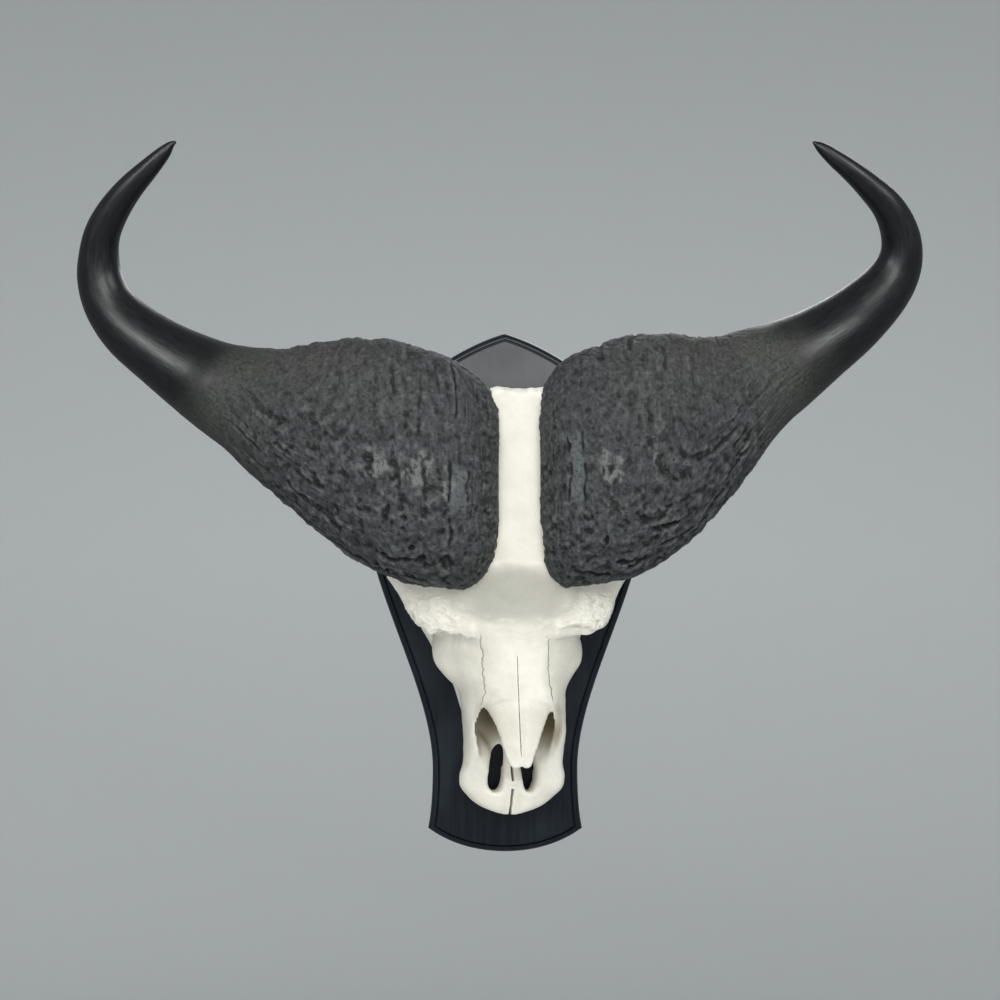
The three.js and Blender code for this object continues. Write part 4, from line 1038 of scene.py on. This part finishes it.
def jaw_split(top, foot, width=3.2):
    """A thin block between the two halves of the jaw, its sides a little uneven."""
    up = np.linspace(top, foot, 24)
    uneven = np.stack([up / 7, 0 * up, 0 * up], 1)
    left, right = -width / 2 + 0.35 * lumps(uneven, 1, 5), width / 2 + 0.35 * lumps(uneven, 1, 6)
    rings = [[(a, 12, z), (b, 12, z), (b, 92, z), (a, 92, z)] for a, b, z in zip(left, right, up)]
    points, quads, ends = skin(np.array(rings, float))
    return hang(points), quads, ends


for top, foot in ((-201, -218), (-227, -264)):
    change(skull, make_piece("cut", *jaw_split(top, foot)), "DIFFERENCE")
skull.data.shade_smooth()
skull.data.set_sharp_from_angle(angle=math.radians(52))
skull.data.calc_loop_triangles()
print("skull:", len(skull.data.loop_triangles), "triangles")

# %% [markdown]
# ### What bleached bone looks like
#
# Cleaned bone is whitened with peroxide and left dry: chalky and cream in the thick parts. Painted shade
# greys the forehead under the bosses and the bone between them and darkens the hollows, while painted light
# brightens the bumps. Deep in the nose old tissue stains are deepened by painted shade. The teeth are a
# harder, shinier enamel with brown in their folds. Numbers stored on the points say where each of these is.

# %% Where the skull is hollow, inside, or tooth
def mark_bone(piece):
    points = points_of(piece)
    flat = ease(piece, points, 7, 0.6, 0.0)
    hollow = np.einsum("ij,ij->i", flat - points, normals_of(piece))
    note(piece, "hollow", np.clip(hollow / 0.9, -1, 1))
    q = unhang(points)
    _, out, up, wide, high = np.array(NOSE_HOLLOW, float).T
    order = np.argsort(up)
    out, wide, high = (np.interp(q[:, 2], up[order], v[order]) for v in (out, wide, high))
    within = np.hypot(q[:, 0] / (wide + 2), (q[:, 1] - out) / (high + 2))
    # inner: old tissue stain in the nose, darkened with depth as painted shade
    deep = 1 - smooth_step(q[:, 1], out + 0.1 * high, out + 0.85 * high)
    span = smooth_step(q[:, 2], -192, -150) * (1 - smooth_step(q[:, 2], -60, -45))
    note(piece, "inner", (1 - smooth_step(within, 0.98, 1.12)) * deep * span)
    behind = 1 - smooth_step(q[:, 1], 34, 37)
    mirrored = np.column_stack([np.abs(q[:, 0]), q[:, 1], q[:, 2]])
    note(piece, "rugged", near(mirrored, (84, 152, -16), (66, 60, 40)))
    # painted shade: grey over the forehead below the bosses and, fainter, over the bone between the horns
    forehead = near(mirrored, (0, 192, 2), (96, 60, 56)) * smooth_step(q[:, 2], -40, -12)
    between_horns = 0.36 * smooth_step(q[:, 2], 20, 50) * smooth_step(q[:, 1], 120, 160)
    note(piece, "grey", np.maximum(forehead, between_horns))
    note(piece, "enamel", behind * (q[:, 2] > -139) * (q[:, 2] < -9) * (np.abs(q[:, 0]) > 30))
    return hollow


hollow = mark_bone(skull)
print("hollows from", round(hollow.min(), 2), "to", round(hollow.max(), 2), "mm")


# %% The bone's material
def bone_finish():
    # peroxide-bleached bone: matt, warm white, finely porous; its teeth are glossy enamel
    material, tree, shader = new_finish("bleached dry bone and enamel", IOR=1.55)
    place = add(tree, "ShaderNodeTexCoord").outputs["Object"]
    hollow, inner, enamel, rugged, grey = (
        add(tree, ATTRIBUTE, {"attribute_name": name}).outputs["Fac"]
        for name in ("hollow", "inner", "enamel", "rugged", "grey")
    )
    clouds = add(tree, NOISE, None, Vector=place, Scale=1 / 0.03, Detail=5.0)
    specks = add(tree, NOISE, None, Vector=place, Scale=1 / 0.004, Detail=4.0)
    grain = add(tree, MAPPING, None, Vector=place, Scale=(620, 620, 130))
    grain = add(tree, NOISE, None, Vector=grain, Scale=1.0, Detail=4.0)
    wrinkles = add(tree, MAPPING, None, Vector=place, Scale=(110, 170, 300))
    wrinkles = add(tree, NOISE, None, Vector=wrinkles, Scale=1.0, Detail=3.0, Distortion=0.6)
    pores = add(tree, "ShaderNodeTexVoronoi", None, Vector=place, Scale=1 / 0.0021)
    # colour: cream; painted shade greys the forehead and the bone between the horns and darkens the
    # hollows, painted light brightens the bumps; tan deep in the nose is stain deepened by painted shade
    colour = add(tree, RANGE, SOFT, i0=clouds, i1=0.35, i2=0.7)
    colour = add(tree, MIX, COLOUR, i0=colour, i6=linear("#f5f1e3"), i7=linear("#e9e5d7"))
    # painted shade over the forehead and between the horns
    colour = add(tree, MIX, COLOUR, i0=add(tree, MATH, TIMES, i0=grey, i1=0.85), i6=colour,
                 i7=linear("#a4a499"))
    share = add(tree, RANGE, SOFT, i0=specks, i1=0.55, i2=0.8, i3=0.0, i4=0.25)
    colour = add(tree, MIX, COLOUR, i0=share, i6=colour, i7=linear("#cdc9b8"))
    # painted shade in the bone's hollows, then painted light on its bumps
    share = add(tree, RANGE, SOFT, i0=hollow, i1=0.2, i2=0.95, i3=0.0, i4=0.45)
    colour = add(tree, MIX, COLOUR, i0=share, i6=colour, i7=linear("#b5ac94"))
    share = add(tree, RANGE, SOFT, i0=hollow, i1=-0.05, i2=-0.6, i3=0.0, i4=0.6)
    colour = add(tree, MIX, COLOUR, i0=share, i6=colour, i7=linear("#fbf8ee"))
    # tan deep in the nose: partly old tissue stain, partly painted shade
    colour = add(tree, MIX, COLOUR, i0=add(tree, MATH, TIMES, i0=inner, i1=0.9), i6=colour,
                 i7=linear("#7f6f4a"))
    folds = add(tree, RANGE, SOFT, i0=hollow, i1=-0.1, i2=0.5)
    folds = add(tree, MIX, COLOUR, i0=folds, i6=linear("#e8e0c8"), i7=linear("#6f5a3c"))
    tree.links.new(add(tree, MIX, COLOUR, i0=enamel, i6=colour, i7=folds).outputs[2],
                   shader.inputs["Base Color"])
    dry = add(tree, RANGE, SOFT, i0=specks, i1=0.35, i2=0.7, i3=0.52, i4=0.7)
    tree.links.new(add(tree, MIX, None, i0=enamel, i2=dry, i3=0.28).outputs[0], shader.inputs["Roughness"])
    height = add(tree, RANGE, SOFT, i0=pores, i1=0.0, i2=0.35, i3=0.0, i4=0.00012)
    height = add(tree, MATH, PLUS, i0=height, i1=add(tree, MATH, TIMES, i0=grain, i1=0.0004))
    height = add(tree, MATH, PLUS, i0=height, i1=add(tree, MATH, TIMES, i0=specks, i1=0.0006))
    rise = add(tree, MATH, TIMES, i0=rugged, i1=0.0032)
    height = add(tree, MATH, PLUS, i0=height, i1=add(tree, MATH, TIMES, i0=wrinkles, i1=rise))
    bump = add(tree, "ShaderNodeBump", None, Height=height, Distance=1.0, Strength=0.8)
    tree.links.new(bump.outputs[0], shader.inputs["Normal"])
    return material


skull.data.materials.clear()
skull.data.materials.append(bone_finish())
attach(skull, "root")
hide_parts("skull")

# %% [markdown]
# ## The plaque
#
# The shield is cut from a 22 mm board. A router has run round its edge: a round-over, a shallow cove
# and a small step up to the flat face, which shows as a thin dark line all round. The outline is drawn
# as curves, and that profile is carried round it.

# %% The shield and its routed edge
def bezier(a, b, c, d, count):
    t = np.linspace(0, 1, count, endpoint=False)[:, None]
    a, b, c, d = (np.array(v, float) for v in (a, b, c, d))
    return a * (1 - t) ** 3 + 3 * b * t * (1 - t) ** 2 + 3 * c * t**2 * (1 - t) + d * t**3


def shield_outline():
    right = np.concatenate([
        bezier((0, 309), (62, 291), (170, 225), (170, 118), 70),
        bezier((170, 118), (170, 10), (86, -112), (86.5, -212), 90),
        bezier((86.5, -212), (86.5, -240), (88.5, -266), (92, -282), 20),
        bezier((92, -282), (66, -301), (34, -310), (0, -310), 36),
    ])
    # a corner keeps no near neighbours, because the routed edge turns inside them
    for corner, reach in (((92, -282), 8.5), ((0, 309), 4.5)):
        far = np.linalg.norm(right - corner, axis=1)
        right = right[(far < 0.01) | (far > reach)]
    left = right[:0:-1] * [-1, 1]
    return np.concatenate([right, [[0, -310]], left])


def moved_in(outline, inset):
    """The outline moved inwards, each point along the bisector of its corner."""
    before = outline - np.roll(outline, 1, 0)
    after = np.roll(outline, -1, 0) - outline
    before, after = (v / np.linalg.norm(v, axis=1)[:, None] for v in (before, after))
    inward = np.stack([-(before + after)[:, 1], (before + after)[:, 0]], 1)
    inward /= np.linalg.norm(inward, axis=1)[:, None]
    stretch = np.maximum(0.5, np.einsum("ij,ij->i", inward, np.stack([-after[:, 1], after[:, 0]], 1)))
    return outline - inward * (inset / stretch)[:, None]


# inset and height of the routed edge, from the back corner round to the flat face
ROUTED_EDGE = [
    (0.6, 0), (0.15, 0.2), (0, 0.7), (0, 10.6), (0.2, 12.6), (0.8, 14.6), (1.8, 16.4), (3.1, 17.8),
    (4.4, 18.6), (5.6, 19), (6.6, 19), (7, 18.6), (7.3, 17.2), (7.7, 16.4), (8.2, 16.4), (8.6, 17.2),
    (8.8, 20.6), (9.1, 21.4), (9.7, 21.9), (10.4, 22),
]


def shield():
    outline = shield_outline()
    rings = np.array([np.insert(moved_in(outline, inset), 1, out, axis=1) for inset, out in ROUTED_EDGE])
    points, quads, ends = skin(rings)
    return make_piece("shield_board", points, quads, ends)


plaque = shield()
print("shield", len(plaque.data.polygons), "faces before its holes")

# %% [markdown]
# The hanger and the heads of the screws are sunk into the back, so the board needs a pocket and holes.

# %% Pocket and holes in the back
HANGER_UP, HANGER_WIDE, HANGER_TALL, HANGER_THICK = 238, 24, 62, 2.4


def rounded(wide, tall, radius, count=10):
    """A rectangle with round corners, as (across, up) points."""
    points = []
    for turn, sx, sz in ((0, 1, 1), (90, -1, 1), (180, -1, -1), (270, 1, -1)):
        for a in np.radians(np.linspace(turn, turn + 90, count)):
            x, z = radius * np.cos(a), radius * np.sin(a)
            points.append((sx * (wide / 2 - radius) + x, sz * (tall / 2 - radius) + z))
    return np.array(points)


def prism(outline, low, high, up=0, across=0):
    rings = [[(across + x, out, up + z) for x, z in outline] for out in (low, high)]
    return skin(np.array(rings, float))


def round_cut(profile, across, up, around=40):
    """A turned cut that points out of the wall."""
    return turned(profile, np.array([across, 0.0, up]), OUT, around)


def circle(radius, count=48):
    turn = np.linspace(0, 2 * np.pi, count, endpoint=False)
    return np.column_stack([radius * np.cos(turn), radius * np.sin(turn)])


HANGER_SCREWS = (HANGER_UP - 23, HANGER_UP + 23)
SKULL_SCREWS = (92, 142)
SKULL_SCREW_ACROSS = -9
cuts = [
    prism(rounded(HANGER_WIDE + 0.6, HANGER_TALL + 0.6, 6), -2, 3, HANGER_UP),
    prism(rounded(15, 30, 4), -1, 12.2, HANGER_UP + 1),
]
cuts += [round_cut([(1.9, 1), (1.9, 11), (0.3, 13.3)], 0, up) for up in HANGER_SCREWS]
SCREW_HOLE = [(6.6, -1), (6.3, 0.5), (3.3, 4.2), (3.3, 30)]
cuts += [round_cut(SCREW_HOLE, SKULL_SCREW_ACROSS, up) for up in SKULL_SCREWS]
for cut in cuts:
    change(plaque, make_piece("cut", *cut), "DIFFERENCE")
plaque.data.shade_smooth()
plaque.data.set_sharp_from_angle(angle=math.radians(38))

# %% [markdown]
# ### Painted wood
#
# Black satin paint lies over the routed board. Paint fills most of the grain, yet under a low light the
# long lines of the wood still show faintly, and the brush or spray leaves a very slight orange peel.

# %% The plaque's material
def paint_finish():
    # black satin lacquer on routed wood, index 1.5, soft reflections
    material, tree, shader = new_finish("black satin paint on wood", IOR=1.5)
    place = add(tree, "ShaderNodeTexCoord").outputs["Object"]
    grain = add(tree, MAPPING, None, Vector=place, Scale=(260, 260, 9))
    grain = add(tree, NOISE, None, Vector=grain, Scale=1.0, Detail=5.0, Distortion=0.4)
    peel = add(tree, NOISE, None, Vector=place, Scale=1 / 0.0022, Detail=2.0)
    wear = add(tree, NOISE, None, Vector=place, Scale=1 / 0.06, Detail=4.0)
    colour = add(tree, RANGE, SOFT, i0=grain, i1=0.35, i2=0.65)
    colour = add(tree, MIX, COLOUR, i0=colour, i6=linear("#0a1016"), i7=linear("#121a22"))
    share = add(tree, RANGE, SOFT, i0=wear, i1=0.4, i2=0.7, i3=0.0, i4=0.4)
    colour = add(tree, MIX, COLOUR, i0=share, i6=colour, i7=linear("#1b2630"))
    tree.links.new(colour.outputs[2], shader.inputs["Base Color"])
    gloss = add(tree, RANGE, SOFT, i0=wear, i1=0.3, i2=0.7, i3=0.3, i4=0.37)
    tree.links.new(gloss.outputs[0], shader.inputs["Roughness"])
    height = add(tree, MATH, TIMES, i0=grain, i1=0.00016)
    height = add(tree, MATH, PLUS, i0=height, i1=add(tree, MATH, TIMES, i0=peel, i1=0.00003))
    bump = add(tree, "ShaderNodeBump", None, Height=height, Distance=1.0, Strength=0.6)
    tree.links.new(bump.outputs[0], shader.inputs["Normal"])
    return material


plaque.data.materials.clear()
plaque.data.materials.append(paint_finish())
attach(plaque, "root")
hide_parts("plaque")

# %% [markdown]
# ## Zinc-plated steel on the back
#
# The fixings are bright zinc plate: grey, faintly blue, with soft cloudy patches. The hanger is a
# stamped plate with a keyhole, so it is cut from a flat blank and its edges are eased.

# %% Steel, and the hanger
def steel_finish():
    # zinc-plated steel: a metal of medium gloss with cloudy crystals a few millimetres across
    material, tree, shader = new_finish("zinc-plated steel", Metallic=1.0)
    place = add(tree, "ShaderNodeTexCoord").outputs["Object"]
    clouds = add(tree, NOISE, None, Vector=place, Scale=1 / 0.005, Detail=3.0)
    colour = add(tree, MIX, COLOUR, i0=clouds, i6=linear("#9da3a8"), i7=linear("#c3c8cb"))
    tree.links.new(colour.outputs[2], shader.inputs["Base Color"])
    gloss = add(tree, RANGE, SOFT, i0=clouds, i1=0.3, i2=0.7, i3=0.26, i4=0.42)
    tree.links.new(gloss.outputs[0], shader.inputs["Roughness"])
    return material


zinc = steel_finish()
blank = prism(rounded(HANGER_WIDE, HANGER_TALL, 6), 0.3, 0.3 + HANGER_THICK, HANGER_UP)
hanger = make_piece("keyhole_hanger", *blank)
slot = prism(rounded(6.4, 24, 3.2), -2, 6, HANGER_UP + 2)
for cut in (prism(circle(6.5), -2, 6, HANGER_UP - 5), slot):
    change(hanger, make_piece("cut", *cut), "DIFFERENCE")
COUNTERSINK = [(4.1, -1), (3.9, 0.35), (1.95, 2.4), (1.95, 6)]
for up in HANGER_SCREWS:
    change(hanger, make_piece("cut", *round_cut(COUNTERSINK, 0, up)), "DIFFERENCE")
eased = hanger.modifiers.new("eased edges", "BEVEL")
eased.width, eased.segments, eased.limit_method, eased.angle_limit = 0.0003, 2, "ANGLE", math.radians(50)
hanger.data.materials.clear()
hanger.data.materials.append(zinc)
hanger.data.shade_flat()
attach(hanger, "root")
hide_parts("hanger_plate")

# %% [markdown]
# ## Screws that share one recipe
#
# Two long screws hold the skull and two short ones the hanger. A screw follows a rule: a countersunk
# head with a cross recess, a shank with a thread of even pitch, and a point. Geometry Nodes hold such a
# rule well, because one tree makes both kinds from a few sizes and repeats them at an even spacing.

# %% One node tree for every screw
VECTOR, MOVE = "ShaderNodeCombineXYZ", "GeometryNodeTransform"


def screw_tree():
    tree = bpy.data.node_groups.new("countersunk screws", "GeometryNodeTree")
    face = tree.interface
    face.new_socket("Geometry", in_out="INPUT", socket_type="NodeSocketGeometry")
    sizes = ("Head radius", "Head height", "Shank radius", "Length", "Pitch", "Thread depth", "Spacing")
    wanted = {**dict.fromkeys(sizes, "Float"), "Start": "Vector", "Finish": "Material"}
    sockets = {}
    for label, kind in wanted.items():
        socket = face.new_socket(label, in_out="INPUT", socket_type="NodeSocket" + kind)
        sockets[label] = socket.identifier
    face.new_socket("Geometry", in_out="OUTPUT", socket_type="NodeSocketGeometry")
    given = add(tree, "NodeGroupInput").outputs
    head = add(tree, "GeometryNodeMeshCone", None, Vertices=40, Radius_Top=given["Shank radius"],
               Radius_Bottom=given["Head radius"], Depth=given["Head height"])
    shank = add(tree, "GeometryNodeMeshCylinder", None, Vertices=32, Radius=given["Shank radius"],
                Depth=given["Length"])
    middle = add(tree, VECTOR, None, Z=add(tree, MATH, TIMES, i0=given["Length"], i1=0.5))
    shank = add(tree, MOVE, None, Geometry=shank, Translation=middle)
    # the thread is a thin three-sided wire wound on the last four fifths of the shank
    rise = add(tree, MATH, TIMES, i0=given["Length"], i1=0.8)
    turns = add(tree, MATH, {"operation": "DIVIDE"}, i0=rise, i1=given["Pitch"])
    edge = add(tree, MATH, TIMES, i0=given["Shank radius"], i1=0.97)
    spiral = add(tree, "GeometryNodeCurveSpiral", None, Resolution=28, Rotations=turns, Start_Radius=edge,
                 End_Radius=edge, Height=rise)
    wire = add(tree, "GeometryNodeCurvePrimitiveCircle", None, Resolution=3, Radius=given["Thread depth"])
    thread = add(tree, "GeometryNodeCurveToMesh", None, Curve=spiral, Profile_Curve=wire, Fill_Caps=True)
    start = add(tree, VECTOR, None, Z=add(tree, MATH, TIMES, i0=given["Length"], i1=0.16))
    thread = add(tree, MOVE, None, Geometry=thread, Translation=start)
    # the cross recess is two bars
    thick = add(tree, MATH, TIMES, i0=given["Head radius"], i1=0.24)
    deep = add(tree, MATH, TIMES, i0=given["Head height"], i1=1.2)
    size = add(tree, VECTOR, None, X=given["Head radius"], Y=thick, Z=deep)
    bar = add(tree, "GeometryNodeMeshCube", None, Size=size)
    other = add(tree, MOVE, None, Geometry=bar, Rotation=(0, 0, math.pi / 2))
    body = add(tree, "GeometryNodeMeshBoolean", {"operation": "UNION", "solver": "MANIFOLD"})
    cross = add(tree, "GeometryNodeMeshBoolean", {"operation": "UNION", "solver": "MANIFOLD"})
    for part, whole in ((head, body), (shank, body), (thread, body), (bar, cross), (other, cross)):
        tree.links.new(part.outputs[0], whole.inputs["Mesh 2"])
    screw = add(tree, "GeometryNodeMeshBoolean", {"operation": "DIFFERENCE", "solver": "MANIFOLD"},
                i0=body, i1=cross)
    step = add(tree, VECTOR, None, Z=given["Spacing"])
    places = add(tree, "GeometryNodeMeshLine", None, Count=2, Start_Location=given["Start"], Offset=step)
    screws = add(tree, "GeometryNodeInstanceOnPoints", None, Points=places, Instance=screw,
                 Rotation=(math.pi / 2, 0, 0))
    real = add(tree, "GeometryNodeRealizeInstances", None, Geometry=screws)
    plated = add(tree, "GeometryNodeSetMaterial", None, Geometry=real, Material=given["Finish"])
    add(tree, "NodeGroupOutput", None, i0=plated)
    return tree, sockets


SCREW_TREE, SCREW_SOCKETS = screw_tree()
print("screw tree has", len(SCREW_TREE.nodes), "nodes")


# %% The four screws
def make_screws(name, **sizes):
    """Two screws as one plain mesh, pointing out of the wall. Sizes are in metres."""
    holder = bpy.data.objects.new(name, bpy.data.meshes.new(name))
    bpy.context.scene.collection.objects.link(holder)
    modifier = holder.modifiers.new("screws", "NODES")
    modifier.node_group = SCREW_TREE
    for size, value in {**sizes, "Finish": zinc}.items():
        modifier[SCREW_SOCKETS[size.replace("_", " ")]] = value
    graph = bpy.context.evaluated_depsgraph_get()
    made = bpy.data.meshes.new_from_object(holder.evaluated_get(graph))
    holder.modifiers.clear()
    before, holder.data = holder.data, made
    bpy.data.meshes.remove(before)
    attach(holder, "root")
    print(name, len(made.polygons), "faces")
    return holder


skull_screws = make_screws("skull_screws", Head_radius=0.006, Head_height=0.0037, Shank_radius=0.0024,
                           Length=0.0945, Pitch=0.0028, Thread_depth=0.0007, Spacing=0.05,
                           Start=(-0.009, -0.0005, 0.092))
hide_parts("skull_screw_lower", "skull_screw_upper")
hanger_screws = make_screws("hanger_screws", Head_radius=0.0036, Head_height=0.0021, Shank_radius=0.0013,
                            Length=0.0118, Pitch=0.0011, Thread_depth=0.0004, Spacing=0.046,
                            Start=(0, -0.0005, 0.215))
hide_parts("hanger_screw_lower", "hanger_screw_upper")
